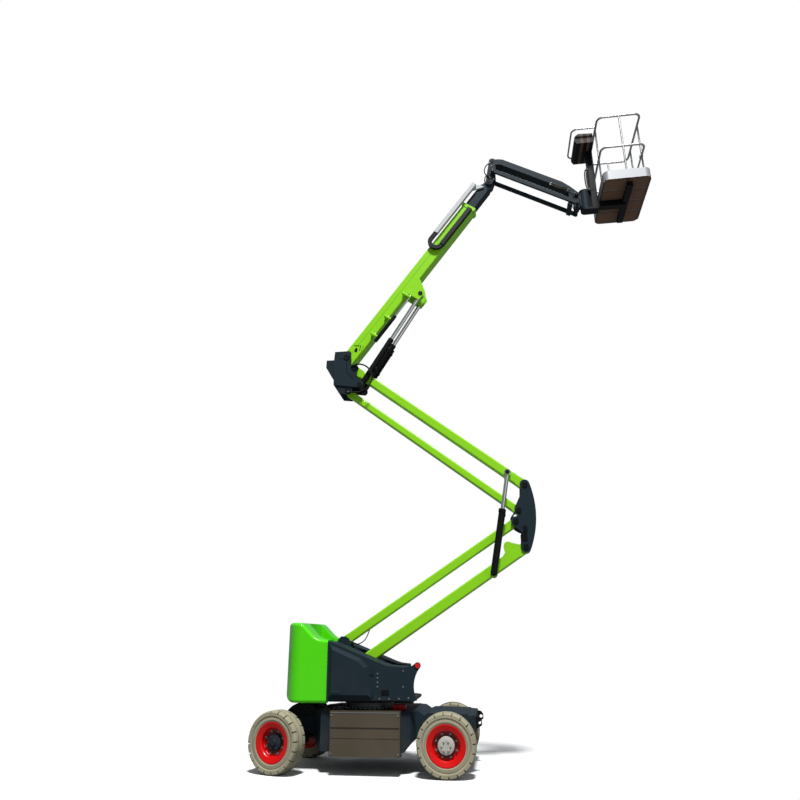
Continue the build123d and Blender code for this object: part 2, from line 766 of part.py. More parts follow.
with BuildPart() as boom_upright:
    for sign in (-1, 1):
        # Outer plate with the boom's pivot and the foot of the lift cylinders
        with BuildSketch(side(M, y=sign * (upright_y + upright_t / 2))):
            with BuildLine():
                Line((-192, 104), (22, 104))
                ThreePointArc((22, 104), (55, 92), (66, 60))
                Line((66, 60), (72, -235))
                ThreePointArc((72, -235), (88, -290), (138, -334))
                Line((138, -334), (240, -410))
                ThreePointArc((240, -410), (266, -468), (224, -515))
                Line((224, -515), (-200, -450))
                Line((-200, -450), (-206, -60))
                Line((-206, -60), (-192, 104))
            make_face()
        extrude(amount=upright_t / 2, both=True)
        # Inner plate that carries the arm and the link below it
        lobe(U3, 62, U4, 56, side(y=sign * (upright_y - upright_t / 2 + 1)), upright_t)
        plate([(-196, -400), (-200, -450), (-112, -590), (10, -606), (80, -560), (60, -300)],
              side(M, y=sign * (upright_y - upright_t / 2 + 1)), upright_t)
        stub = upright_y - lift_y + 38
        pin(LB, 26, stub + 10, y=sign * (upright_y + 10 - (stub + 10) / 2))
        # Pressed line on the outer face
        with BuildSketch(side(M, y=sign * (upright_y + upright_t))):
            with BuildLine():
                FilletPolyline((-110, -20), (-2, -22), (0, -240), (112, -380), radius=24)
            trace(line_width=9)
        extrude(amount=4, both=True, mode=Mode.SUBTRACT)
    pin(U3, pin_r, 2 * upright_y + 10)
    pin(U4, pin_r, 2 * upright_y + 10)
    pin(M, boom_pin_r, 2 * upright_y + 10)
    plate([(-190, -440), (-175, -440), (-185, -80), (-170, 60), (-185, 60), (-204, -80)], side(M),
          2 * upright_y + 10)
    plate([(-190, -10), (-338, -8), (-342, -130), (-255, -283), (-186, -320)], side(M), 250)
write(boom_upright.part, "boom_upright")

fly_h = boom_h - 2 * boom_wall - 2 * fly_gap
fly_w = boom_w - 2 * boom_wall - 2 * fly_gap
with BuildPart() as boom_base:
    box_tube(across(M, boom_deg, -70), boom_w, boom_h, boom_wall, boom_len + 70)
    # Wear collar at the mouth
    with BuildSketch(across(M, boom_deg, boom_len - 70)):
        Rectangle(boom_w - boom_wall, boom_h - boom_wall)
        Rectangle(fly_w + 2 * run_fit, fly_h + 2 * run_fit, mode=Mode.SUBTRACT)
    extrude(amount=70)
    with BuildSketch(across(M, boom_deg, boom_len - 60)):
        Rectangle(boom_w + 16, boom_h + 16)
        Rectangle(boom_w - boom_wall, boom_h - boom_wall, mode=Mode.SUBTRACT)
    extrude(amount=60)
    # Pivot boss and side doublers
    pin(M, 62, 2 * upright_y - 8)
    for sign in (-1, 1):
        y = sign * (boom_w / 2 + 4)
        plate([(-66, -100), (190, -100), (330, -60), (330, 60), (190, 100), (-66, 100)],
              side(M, boom_deg, y), 10)
        # Clevis of the lift cylinder
        ear_x = lift_eye[0]
        half_eye = (2 * lift_r - 18) / 2
        under = -boom_h / 2 + 6
        for y0, top in ((lift_y - half_eye - 12, under), (lift_y + half_eye + 2, -55)):
            with BuildSketch(side(M, boom_deg, sign * (y0 + 5))):
                with BuildLine():
                    Polyline((ear_x + 60, lift_eye[1] - 52), (ear_x - 108, lift_eye[1] - 46),
                             (ear_x - 112, min(top, -85)), (ear_x + 24, top), (ear_x + 200, min(top, -75)),
                             (ear_x + 200, -150))
                    ThreePointArc((ear_x + 200, -150), (ear_x + 138, -240), (ear_x + 60, lift_eye[1] - 52))
                make_face()
            extrude(amount=5, both=True)
        plate([(ear_x - 112, -60), (ear_x - 112, -150), (ear_x + 180, -150), (ear_x + 200, -60)],
              side(M, boom_deg, sign * (boom_w / 2 - 4 + lift_y + half_eye + 12) / 2),
              lift_y + half_eye + 12 - boom_w / 2 + 4)
        plate([(ear_x - 112, under), (ear_x - 112, -150), (ear_x + 180, -150), (ear_x + 200, under)],
              side(M, boom_deg, sign * lift_y), 2 * half_eye + 24)
    pin(M, boom_pin_r + run_fit, 2 * upright_y, mode=Mode.SUBTRACT)
write(boom_base.part, "boom_base")

lift_eye_w = 2 * lift_r - 18
with BuildPart() as lift_barrels:
    for sign in (-1, 1):
        y = sign * lift_y
        rod_between(LB, lift_deg, 25, lift_barrel, lift_r, y)
        pin(LB, 44, 2 * lift_r - 10, y)
    for sign in (-1, 1):
        y = sign * lift_y
        pin(LB, 26 + run_fit, 200, y, mode=Mode.SUBTRACT)
        rod_between(LB, lift_deg, 70, lift_barrel + 10, lift_rod_r + run_fit, y, mode=Mode.SUBTRACT)
write(lift_barrels.part, "lift_cylinder_barrels")

with BuildPart() as lift_rods:
    for sign in (-1, 1):
        y = sign * lift_y
        rod_between(LE, lift_deg, -1140, -20, lift_rod_r, y)
        pin(LE, 42, lift_eye_w, y)
write(lift_rods.part, "lift_cylinder_rods")

with BuildPart() as boom_fly:
    box_tube(across(M, boom_deg, fly_tail), fly_w, fly_h, fly_wall, fly_len - fly_tail)
    tip_x, tip_z = level_pin
    plate([(fly_len - 60, -fly_h / 2 + 10), (tip_x + 10, tip_z - 62), (tip_x + 52, tip_z - 30),
           (tip_x + 60, tip_z + 12), (tip_x + 30, tip_z + 55), (fly_len - 60, fly_h / 2 - 10)],
          side(M, boom_deg), fly_w - 6)
    pin(N, pin_r + run_fit, 2 * nose_y, mode=Mode.SUBTRACT)
write(boom_fly.part, "boom_fly")


def channel(x0, x1, y_mid, z_mid, width, height, wall):
    """Rectangular guide along the boom, open at both ends."""
    plane = across(M, boom_deg, x0)
    with BuildSketch(plane) as outline:
        with Locations((y_mid, z_mid)):
            RectangleRounded(width, height, 8)
            Rectangle(width - 2 * wall, height - 2 * wall, mode=Mode.SUBTRACT)
    extrude(outline.sketch, amount=x1 - x0)


guide_w = chain_w + 22
guide_wall = 4.0
guide_h = chain_h + 2 * guide_wall + 2 * run_fit
with BuildPart() as cable_tray:
    channel(tray_start + 60, boom_len - 70, chain_y, chain_low, guide_w, guide_h, guide_wall)
    # Open along its top, so that the chain's bend can run over it
    with BuildSketch(across(M, boom_deg, tray_start)):
        with Locations((chain_y, chain_low + guide_h / 2)):
            Rectangle(guide_w - 2 * guide_wall, 4 * guide_wall)
    extrude(amount=boom_len - tray_start, mode=Mode.SUBTRACT)
    for x in (boom_len - 740, boom_len - 160):
        plate([(x, chain_low - 20), (x + 60, chain_low - 20), (x + 60, chain_low + 20), (x, chain_low + 20)],
              side(M, boom_deg, -(boom_w / 2 + run_fit + 2)), 4)
write(cable_tray.part, "cable_tray")

with BuildPart() as chain_guide:
    channel(guide_start, guide_end, chain_y, chain_top, guide_w, guide_h, guide_wall)
    plate([(guide_end - 90, chain_top - 28), (guide_end + 60, fly_h / 2 - 90), (guide_end + 60, fly_h / 2 - 30),
           (guide_end - 4, chain_top + 30), (guide_end - 90, chain_top + 30)],
          side(M, boom_deg, -(fly_w / 2 + run_fit + 14)), 28)
write(chain_guide.part, "chain_guide")

with BuildPart() as cable_chain:
    mid = (chain_top + chain_low) / 2
    bend = (chain_top - chain_low) / 2
    with BuildSketch(side(M, boom_deg, chain_y)):
        with Locations((chain_bend, mid)):
            Circle(bend + chain_h / 2)
            Circle(bend - chain_h / 2, mode=Mode.SUBTRACT)
            with Locations((bend + 60, 0)):
                Rectangle(2 * bend + 120, 4 * bend, mode=Mode.SUBTRACT)
        with Locations((chain_bend + 350, chain_top)):
            Rectangle(700, chain_h)
        with Locations((chain_bend + 110, chain_low)):
            Rectangle(220, chain_h)
    extrude(amount=chain_w / 2, both=True)
write(cable_chain.part, "cable_chain")

with BuildPart() as jib_nose:
    for sign in (-1, 1):
        y = sign * (nose_y + nose_t / 2)
        with BuildSketch(side(y=y)):
            for centre, radius in ((N, 62), (J2, 52), (J1, 52)):
                with Locations(centre):
                    Circle(radius)
            make_hull()
        extrude(amount=nose_t / 2, both=True)
    pin(N, pin_r, 2 * nose_y + 10)
    pin(J1, jib_pin_r, 2 * nose_y + 10)
    pin(J2, jib_pin_r, 2 * (link_y + link_w / 2))
write(jib_nose.part, "jib_nose")

with BuildPart() as jib_arm:
    drop = 12.0
    plate([(-44, -10), (-34, 36), (70, 95), (140, jib_h + drop), (1240, jib_h + drop), (1400, 86), (1575, 34),
           (1588, -12), (1560, -40), (1520, -38), (1330, drop), (150, drop), (30, -42), (-20, -42)],
          side(J1, jib_deg), jib_w)
    plate([(1390, -60), (1390, 130), (1620, 130), (1620, -60)], side(J1, jib_deg), 2 * 62, mode=Mode.SUBTRACT)
    pin(J1, jib_pin_r + run_fit, 300, mode=Mode.SUBTRACT)
    pin(E1, jib_pin_r + run_fit, 300, mode=Mode.SUBTRACT)
write(jib_arm.part, "jib_arm")

with BuildPart() as jib_links:
    for sign in (-1, 1):
        y = sign * link_y
        with BuildSketch(side(J2, jib_deg, y)):
            with Locations((jib_len / 2, 0)):
                SlotCenterToCenter(jib_len, link_h)
            for x in (0, jib_len):
                with Locations((x, 0)):
                    Circle(jib_pin_r + run_fit, mode=Mode.SUBTRACT)
        extrude(amount=link_w / 2, both=True)
    plate([(1400, -link_h / 2 + 4), (1470, -link_h / 2 + 4), (1470, -72), (1400, -72)], side(J2, jib_deg),
          2 * link_y)
write(jib_links.part, "jib_links")

head_w = 114.0
with BuildPart() as jib_head:
    with BuildSketch(side()):
        for centre in (E1, E2):
            with Locations(centre):
                Circle(44)
        make_hull()
        with Locations(((E2[0] + rotor_x) / 2 + 20, (E1[1] + E2[1]) / 2)):
            Rectangle(rotor_x - E2[0] - 30, jib_off - 20)
    extrude(amount=head_w / 2, both=True)
    with BuildSketch(Plane.XY.offset(E2[1] - 40)):
        with Locations((rotor_x, 0)):
            Circle(rotor_r)
    extrude(amount=jib_off + 80)
    pin(E1, jib_pin_r, jib_w)
    pin(E2, jib_pin_r, 2 * (link_y + link_w / 2))
write(jib_head.part, "jib_head")

# The mast stands off the rotor by a whole number of millimetres in plan
mast_reach = 240.6
mast_x0 = round(E2[0] + mast_reach)
mast_x1 = mast_x0 + 96
mast_y = 75.0
rotor_low = E2[1] - 40
rotor_high = E1[1] + 40
with BuildPart() as platform_mount:
    for z0, z1 in ((rotor_low - 34, rotor_low - run_fit), (rotor_high + run_fit, rotor_high + 34)):
        with BuildSketch(Plane.XY.offset(z0)):
            with Locations((rotor_x, 0)):
                Circle(rotor_r)
            with Locations(((mast_x0 + mast_x1) / 2, 0)):
                Rectangle(mast_x1 - mast_x0, 2 * mast_y)
            make_hull()
        extrude(amount=z1 - z0)
    mast_z0 = rotor_low - 34
    mast_z1 = rail_top - 230
    with Locations(((mast_x0 + mast_x1) / 2, 0, (mast_z0 + mast_z1) / 2)):
        Box(mast_x1 - mast_x0, 2 * mast_y, mast_z1 - mast_z0)
    beam_x = (plat_x0 + plat_x1) / 2 + 40
    with Locations(((mast_x1 + beam_x) / 2 - 20, 0, plat_z - run_fit - 50)):
        Box(beam_x - mast_x1 + 60, 110, 100)
    with Locations((beam_x, 0, plat_z - run_fit - 40)):
        Box(90, plat_w - 200, 80)
write(platform_mount.part, "platform_mount")

with BuildPart() as platform_floor:
    plat_mid = (plat_x0 + plat_x1) / 2
    with BuildSketch(Plane.XY.offset(plat_z)):
        with Locations((plat_mid, 0)):
            RectangleRounded(plat_x1 - plat_x0, plat_w, corner_r)
    extrude(amount=skirt_h)
    with BuildSketch(Plane.XY.offset(plat_z + floor_t)):
        with Locations((plat_mid, 0)):
            RectangleRounded(plat_x1 - plat_x0 - 10, plat_w - 10, corner_r - 5)
    extrude(amount=skirt_h, mode=Mode.SUBTRACT)
    # Panels sunk between the ribs underneath
    with BuildSketch(Plane.XY.offset(plat_z)):
        with Locations((plat_mid, 0)):
            with GridLocations((plat_len - 28) / 2, (plat_w - 28) / 4, 2, 4):
                Rectangle((plat_len - 28) / 2 - 12, (plat_w - 28) / 4 - 12)
    extrude(amount=floor_t - 14, mode=Mode.SUBTRACT)
    # Raised tread plate clear of the posts
    with BuildSketch(Plane.XY.offset(plat_z + floor_t)):
        with Locations((plat_mid, 0)):
            RectangleRounded(plat_x1 - plat_x0 - 2 * tread_in, plat_w - 2 * tread_in, corner_r - 40)
    extrude(amount=tread_t)
write(platform_floor.part, "platform_floor")

rail_in = 25.0
rx0 = plat_x0 + rail_in
rx1 = plat_x1 - rail_in
ry = plat_w / 2 - rail_in
post_foot = plat_z + floor_t + run_fit


def rail(points, radius, tube_r=rail_r):
    """Round tube of straight runs and bends."""
    with BuildLine() as run:
        FilletPolyline(*points, radius=radius)
    with BuildSketch(Plane(origin=run.line @ 0, z_dir=run.line % 0)) as outline:
        Circle(tube_r)
    sweep(outline.sketch, path=run.line)


def post(x, y, z0, z1):
    with BuildSketch(Plane.XY.offset(z0)) as outline:
        with Locations((x, y)):
            Circle(rail_r - 3)
    extrude(outline.sketch, amount=z1 - z0)


with BuildPart() as platform_rails:
    rail([(rx1, 0, rail_top), (rx1, ry, rail_top), (rx0, ry, rail_top), (rx0, -ry, rail_top), (rx1, -ry, rail_top),
          (rx1, 4, rail_top)], corner_r)
    rail([(rx1, gate_half, rail_mid), (rx1, ry, rail_mid), (rx0, ry, rail_mid), (rx0, -ry, rail_mid),
          (rx1, -ry, rail_mid), (rx1, -gate_half, rail_mid)], corner_r)
    for x, y in ((rx0, 300), (rx0, -300), (rx1, gate_half), (rx1, -gate_half), (plat_mid, ry), (plat_mid, -ry)):
        post(x, y, post_foot, rail_top)
    # Loop that guards the console
    guard_x = rx0 - guard_reach
    rail([(rx0, guard_half, rail_top), (guard_x, guard_half, rail_top), (guard_x, -guard_half, rail_top),
          (rx0, -guard_half, rail_top)], corner_r, rail_r - 3)
    # Cheeks and pin of the lifting entry bar
    for sign in (-1, 1):
        with Locations((rx1 + sign * 21.5, gate_hinge - 20, rail_mid)):
            Box(5, 2 * -gate_hinge - 2 * gate_half + 176, 40)
    with BuildSketch(Plane.YZ.offset(rx1 - 24)):
        with Locations((gate_hinge, rail_mid)):
            Circle(8)
    extrude(amount=48)
    with Locations((rx1, -gate_half, rail_mid)):
        Box(44, 20, 40)
write(platform_rails.part, "platform_rails")

with BuildPart() as platform_gate:
    with BuildSketch(Plane.XZ.offset(-(gate_half - rail_r - side_gap))):
        with Locations((rx1, rail_mid)):
            Circle(rail_r - 3)
    extrude(amount=gate_half - rail_r - side_gap - gate_hinge)
    with BuildSketch(Plane.YZ.offset(rx1 - 18)):
        with Locations((gate_hinge, rail_mid)):
            Circle(22)
    extrude(amount=36)
    with BuildSketch(Plane.YZ.offset(rx1 - 30)):
        with Locations((gate_hinge, rail_mid)):
            Circle(8 + run_fit)
    extrude(amount=60, mode=Mode.SUBTRACT)
write(platform_gate.part, "platform_gate")

with BuildPart() as control_console:
    with BuildSketch(side(y=-25)):
        with BuildLine():
            Line((mast_x0 - 170, mast_z1 + run_fit), (mast_x1, mast_z1 + run_fit))
            Line((mast_x1, mast_z1 + run_fit), (mast_x1, rail_top - 50))
            Line((mast_x1, rail_top - 50), (mast_x0 - 120, rail_top - 36))
            ThreePointArc((mast_x0 - 120, rail_top - 36), (mast_x0 - 192, rail_top - 90),
                          (mast_x0 - 202, rail_top - 180))
            Line((mast_x0 - 202, rail_top - 180), (mast_x0 - 170, mast_z1 + run_fit))
        make_face()
    extrude(amount=console_w / 2, both=True)
write(control_console.part, "control_console")
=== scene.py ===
"""Looks of the articulating boom lift: paint and rubber, small fittings, hoses, studio and camera."""

import json
import math

import bpy
from mathutils import Matrix, Vector


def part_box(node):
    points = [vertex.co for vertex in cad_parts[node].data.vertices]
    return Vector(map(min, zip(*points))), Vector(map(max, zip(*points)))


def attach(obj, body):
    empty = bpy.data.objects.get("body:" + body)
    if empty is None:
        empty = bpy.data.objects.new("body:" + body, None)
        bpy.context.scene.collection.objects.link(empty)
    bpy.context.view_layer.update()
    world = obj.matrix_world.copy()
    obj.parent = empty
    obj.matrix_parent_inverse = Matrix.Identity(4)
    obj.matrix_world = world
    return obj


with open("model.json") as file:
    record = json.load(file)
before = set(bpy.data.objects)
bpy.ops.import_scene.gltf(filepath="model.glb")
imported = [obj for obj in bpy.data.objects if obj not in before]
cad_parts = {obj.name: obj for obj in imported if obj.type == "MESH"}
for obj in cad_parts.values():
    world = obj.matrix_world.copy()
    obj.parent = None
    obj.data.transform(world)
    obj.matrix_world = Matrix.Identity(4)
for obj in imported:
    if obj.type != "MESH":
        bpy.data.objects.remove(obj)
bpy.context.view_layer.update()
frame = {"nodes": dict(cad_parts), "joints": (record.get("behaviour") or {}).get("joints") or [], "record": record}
nodes = frame["nodes"]
joints = {j["name"]: j for j in frame["joints"]}
NEAR, FAR = SIDES = (-1, 1)


# Places taken from the frame, in metres

def pivot(name):
    """Middle of a joint's pin at rest."""
    return Vector(joints[name]["pos_m"])


def half_width(node):
    """Outermost distance of a node from the machine's middle plane."""
    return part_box(node)[1][1]


lower_foot = pivot("riser_lift")
link_foot = pivot("lower_link_turn")
knuckle_low = pivot("knuckle_turn")
knuckle_link = knuckle_low + link_foot - lower_foot
upper_link_pin = pivot("upper_link_turn")
upper_arm_pin = pivot("upper_arm_turn")
upright_low = pivot("upright_turn")
upright_high = upright_low + upper_arm_pin - upper_link_pin
boom_pin = pivot("boom_lift")
lift_foot = pivot("lift_cylinder_turn")
tower_foot = pivot("tower_cylinder_turn")
nose_pin = pivot("platform_level")
jib_pin = pivot("jib_lift")
jib_link_pin = pivot("jib_link_turn")
head_pin = pivot("jib_head_turn")
head_link_pin = head_pin + jib_link_pin - jib_pin
boom_dir = Vector(joints["boom_extend"]["axis"]).normalized()
lift_eye_r = 0.042
tower_eye_r = 0.044
lift_top = Vector(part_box("lift_cylinder_rods")[1])
tower_top = Vector(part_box("tower_cylinder_rods")[1])
lift_eye = Vector((lift_top.x - lift_eye_r, 0, lift_top.z - lift_eye_r))
tower_eye = Vector((tower_top.x - tower_eye_r, 0, tower_top.z - tower_eye_r))
WHEELS = ("steer_near", "steer_far", "drive_near", "drive_far")


def wheel_place(wheel):
    """Turns a shape whose outer face looks along -Y to the outer face of a wheel."""
    spin = joints["spin_" + wheel]
    axis = Vector(spin["axis"])
    angle = math.atan2(-axis.x, axis.y) + (math.pi if wheel.endswith("far") else 0.0)
    return Matrix.Translation(spin["pos_m"]) @ Matrix.Rotation(angle, 4, "Z")


def on_side(point, y, side, spin=0.0):
    """Place on the near or far face of the machine for a shape that looks along -Y."""
    turn = Matrix.Rotation(math.pi if side == FAR else 0.0, 4, "Z")
    return Matrix.Translation((point[0], side * y, point[2])) @ turn @ Matrix.Rotation(spin, 4, "Y")


# Shader maths

class Val:
    """A node socket that adds and multiplies like a number."""

    def __init__(self, look, socket):
        self.look = look
        self.socket = socket

    def __add__(self, other):
        return self.look.maths("ADD", self, other)

    def __radd__(self, other):
        return self.look.maths("ADD", other, self)

    def __sub__(self, other):
        return self.look.maths("SUBTRACT", self, other)

    def __rsub__(self, other):
        return self.look.maths("SUBTRACT", other, self)

    def __mul__(self, other):
        return self.look.maths("MULTIPLY", self, other)

    def __rmul__(self, other):
        return self.look.maths("MULTIPLY", other, self)

    def __abs__(self):
        return self.look.maths("ABSOLUTE", self)


class Look:
    """One material with a Principled shader and helpers that add nodes to it."""

    def __init__(self, name, **constants):
        self.material = bpy.data.materials.new(name)
        self.material.use_nodes = True
        self.tree = self.material.node_tree
        self.shader = self.tree.nodes["Principled BSDF"]
        self.set(**constants)

    def node(self, kind, settings=None, inputs=None):
        """Any node: its settings first, then values or links by socket name or number."""
        made = self.tree.nodes.new(kind)
        for key, value in (settings or {}).items():
            setattr(made, key, value)
        for key, value in (inputs or {}).items():
            self.feed(made.inputs[key], value)
        return made

    def feed(self, socket, value):
        if isinstance(value, Val):
            self.tree.links.new(value.socket, socket)
        else:
            socket.default_value = value

    def value(self, made, socket=0):
        return Val(self, made.outputs[socket])

    def maths(self, operation, *values):
        return self.value(self.node("ShaderNodeMath", {"operation": operation}, dict(enumerate(values))))

    def where(self):
        return self.value(self.node("ShaderNodeTexCoord"), "Object")

    def axes(self, vector=None):
        parts = self.node("ShaderNodeSeparateXYZ", inputs={"Vector": vector or self.where()})
        return [self.value(parts, i) for i in range(3)]

    def local(self, wheel):
        """Place seen from a wheel's middle, with its axle along Y."""
        spin = joints["spin_" + wheel]
        inputs = {"Vector": self.where(), "Location": spin["pos_m"],
                  "Rotation": (0, 0, math.atan2(-spin["axis"][0], spin["axis"][1]))}
        return self.value(self.node("ShaderNodeMapping", {"vector_type": "TEXTURE"}, inputs))

    def noise(self, scale, detail=3.0, rough=0.55, vector=None):
        inputs = {"Vector": vector or self.where(), "Scale": scale, "Detail": detail, "Roughness": rough}
        return self.value(self.node("ShaderNodeTexNoise", inputs=inputs), "Fac")

    def ramp(self, value, low, high):
        inputs = {"Value": value, "From Min": low, "From Max": high}
        made = self.node("ShaderNodeMapRange", {"interpolation_type": "SMOOTHSTEP"}, inputs)
        return self.value(made, "Result")

    def mix(self, amount, a, b):
        return self.value(self.node("ShaderNodeMix", {"data_type": "RGBA"}, {0: amount, 6: a, 7: b}), 2)

    def bump(self, height, strength, distance=0.002):
        inputs = {"Height": height, "Strength": strength, "Distance": distance}
        self.set(Normal=self.value(self.node("ShaderNodeBump", inputs=inputs), "Normal"))

    def set(self, **values):
        for key, value in values.items():
            self.feed(self.shader.inputs[key.replace("_", " ")], value)
        return self


def shade(colour, factor=1.0):
    return (*[min(1.0, c * factor) for c in colour], 1)


# Finishes

def paint(name, colour, roughness, coat=0.25, dust=0.10, shine=0.25, line=None):
    """Enamel with faint orange peel, dust that thickens low on the machine, and painted shade along a given line.
    """
    look = Look(name, Coat_Roughness=0.08, IOR=1.5, Specular_IOR_Level=shine)
    x, y, z = look.axes()
    fine = look.noise(14.0, 3.0)
    low = 1.0 - look.ramp(z, 0.15, 1.3)
    film = (low * 0.9 + 0.1) * look.ramp(look.noise(1.7, 4.0), 0.42, 0.72) * dust
    tone = look.mix(look.ramp(fine, 0.35, 0.65) * 0.12, shade(colour), shade(colour, 0.8))
    # A given line is darkened toward painted shade: the shade in a groove or bend.
    if line:
        tone = look.mix(line(look, x, y, z), tone, shade(colour, 0.15))
    look.set(
        Base_Color=look.mix(film, tone, (0.36, 0.33, 0.28, 1)),
        Roughness=roughness + film * 0.5 + fine * 0.06,
        Coat_Weight=coat - film,
    )
    look.bump(look.noise(220.0, 2.0), 0.05, 0.0006)
    return look.material


def pressed_groove_shade(look, x, y, z):
    """Painted shade on the floor of the line pressed into the upright's plates."""
    return 1.0 - look.ramp(abs(abs(y) - (half_width("boom_upright") - 0.004)), 0.0015, 0.0025)


def boom_bend_shade(look, x, y, z):
    """Painted shade along the long bend in the boom's side sheets."""
    across = (z - boom_pin.z) * boom_dir.x - (x - boom_pin.x) * boom_dir.z
    return (1.0 - look.ramp(abs(across - 0.012), 0.002, 0.005)) * 0.6


def metal(name, colour, roughness, grain=60.0):
    look = Look(name, Metallic=1.0)
    streak = look.noise(grain, 4.0)
    look.set(
        Base_Color=look.mix(look.ramp(streak, 0.3, 0.7) * 0.25, shade(colour), shade(colour, 0.7)),
        Roughness=roughness + streak * 0.12,
    )
    look.bump(streak, 0.04, 0.0008)
    return look.material


def plastic(name, colour, roughness):
    look = Look(name, IOR=1.47, Specular_IOR_Level=0.15)
    fine = look.noise(90.0, 3.0)
    look.set(
        Base_Color=look.mix(look.noise(3.0) * 0.3, shade(colour), shade([c + 0.008 for c in colour], 1.4)),
        Roughness=roughness + fine * 0.1,
    )
    look.bump(fine, 0.08, 0.0008)
    return look.material


def chain_plastic():
    """Energy chain: links a pitch apart along the boom, with painted shade in the gaps."""
    look = Look("chain plastic", IOR=1.47, Specular_IOR_Level=0.08)
    x, y, z = look.axes()
    along = x * boom_dir.x + z * boom_dir.z
    shaded_link_gap = look.ramp(abs(look.maths("FRACT", along * (1 / 0.045)) - 0.5), 0.40, 0.46)
    # The gaps between links are painted near black as their shade.
    look.set(Base_Color=look.mix(shaded_link_gap, (0.022, 0.024, 0.028, 1), (0.004, 0.004, 0.005, 1)), Roughness=0.5)
    look.bump(1.0 - shaded_link_gap, 0.6, 0.004)
    return look.material


def tyre_rubber(wheel):
    """Sand-coloured solid rubber, scuffed and dusty, with painted shade in the grooves of its ringed sidewall and
    ribbed crown.
    """
    look = Look("tyre rubber " + wheel, IOR=1.45)
    x, y, z = look.axes(look.local(wheel))
    radius = look.maths("SQRT", x * x + z * z)
    blot = look.noise(5.0, 5.0)
    fine = look.noise(60.0, 4.0)
    ring = 1.0 - look.ramp(abs(radius - 0.284), 0.002, 0.005)
    shaded_bead_groove = 1.0 - look.ramp(abs(radius - 0.252), 0.0015, 0.004)
    crown = look.ramp(radius, 0.349, 0.353)
    shaded_rib_groove = look.ramp(abs(abs(y) - 0.045), 0.006, 0.003) * crown
    worn = look.mix(look.ramp(blot, 0.45, 0.7) * 0.4, (0.310, 0.288, 0.196, 1), (0.190, 0.174, 0.122, 1))
    dusty = look.mix(look.ramp(fine, 0.5, 0.75) * 0.25, worn, (0.34, 0.32, 0.25, 1))
    look.set(
        # The sidewall rings and crown ribs are grooves, painted dark as their shade.
        Base_Color=look.mix((ring + shaded_bead_groove) * 0.5 + shaded_rib_groove * 0.7, dusty, (0.06, 0.055, 0.042, 1)),
        Roughness=0.78 + fine * 0.15,
    )
    look.bump(fine * 0.4 - ring - shaded_bead_groove * 0.7 - shaded_rib_groove * 2.0, 0.5, 0.003)
    return look.material


def rim_paint(wheel):
    """Red enamel, with painted shade darkening the inner disc."""
    look = Look("rim paint " + wheel, Coat_Weight=0.15, Coat_Roughness=0.08, Specular_IOR_Level=0.25)
    x, y, z = look.axes(look.local(wheel))
    radius = look.maths("SQRT", x * x + z * z)
    fine = look.noise(30.0, 3.0)
    unshaded_flange = look.ramp(radius, 0.115, 0.165)
    red = look.mix(fine * 0.2, (0.60, 0.002, 0.002, 1), (0.42, 0.002, 0.002, 1))
    # Inside the flange the red is darkened as painted shade of the deep dish.
    look.set(Base_Color=look.mix(unshaded_flange, (0.10, 0.002, 0.002, 1), red), Roughness=0.28 + fine * 0.15)
    return look.material


def tread_plate(name, colour):
    """Bare sheet with crossed raised bars where it faces up, and painted shade on faces that look down."""
    look = Look(name, Metallic=0.35)
    x, y, z = look.axes()
    a = look.maths("SINE", (x + y) * 150.0)
    b = look.maths("SINE", (x - y) * 150.0)
    bars = look.ramp(a * b, 0.35, 0.6)
    facing = look.axes(look.value(look.node("ShaderNodeNewGeometry"), "Normal"))[2]
    up = look.ramp(facing, 0.7, 0.9)
    painted_underside_shade = look.ramp(0.0 - facing, 0.7, 0.9)
    fine = look.noise(40.0, 4.0)
    sheet_tone = look.mix(fine * 0.3, shade(colour), shade(colour, 0.7))
    # Faces that look down get dark brown painted shade.
    look.set(Base_Color=look.mix(painted_underside_shade, sheet_tone, (0.030, 0.020, 0.014, 1)), Roughness=0.40 + fine * 0.12)
    look.bump(bars * up, 0.5, 0.003)
    return look.material


def console_face():
    """Black housing with two brown bands along its underside."""
    look = Look("console face", IOR=1.47, Specular_IOR_Level=0.12)
    x, y, z = look.axes()
    low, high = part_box("control_console")
    middle = low[0] + 0.58 * (high[0] - low[0])
    band = 1.0 - look.ramp(abs(abs(x - middle) - 0.052), 0.022, 0.027)
    fine = look.noise(90.0, 3.0)
    look.set(
        Base_Color=look.mix(band, (0.005, 0.005, 0.006, 1), (0.075, 0.048, 0.032, 1)),
        Roughness=0.42 + fine * 0.1,
    )
    return look.material


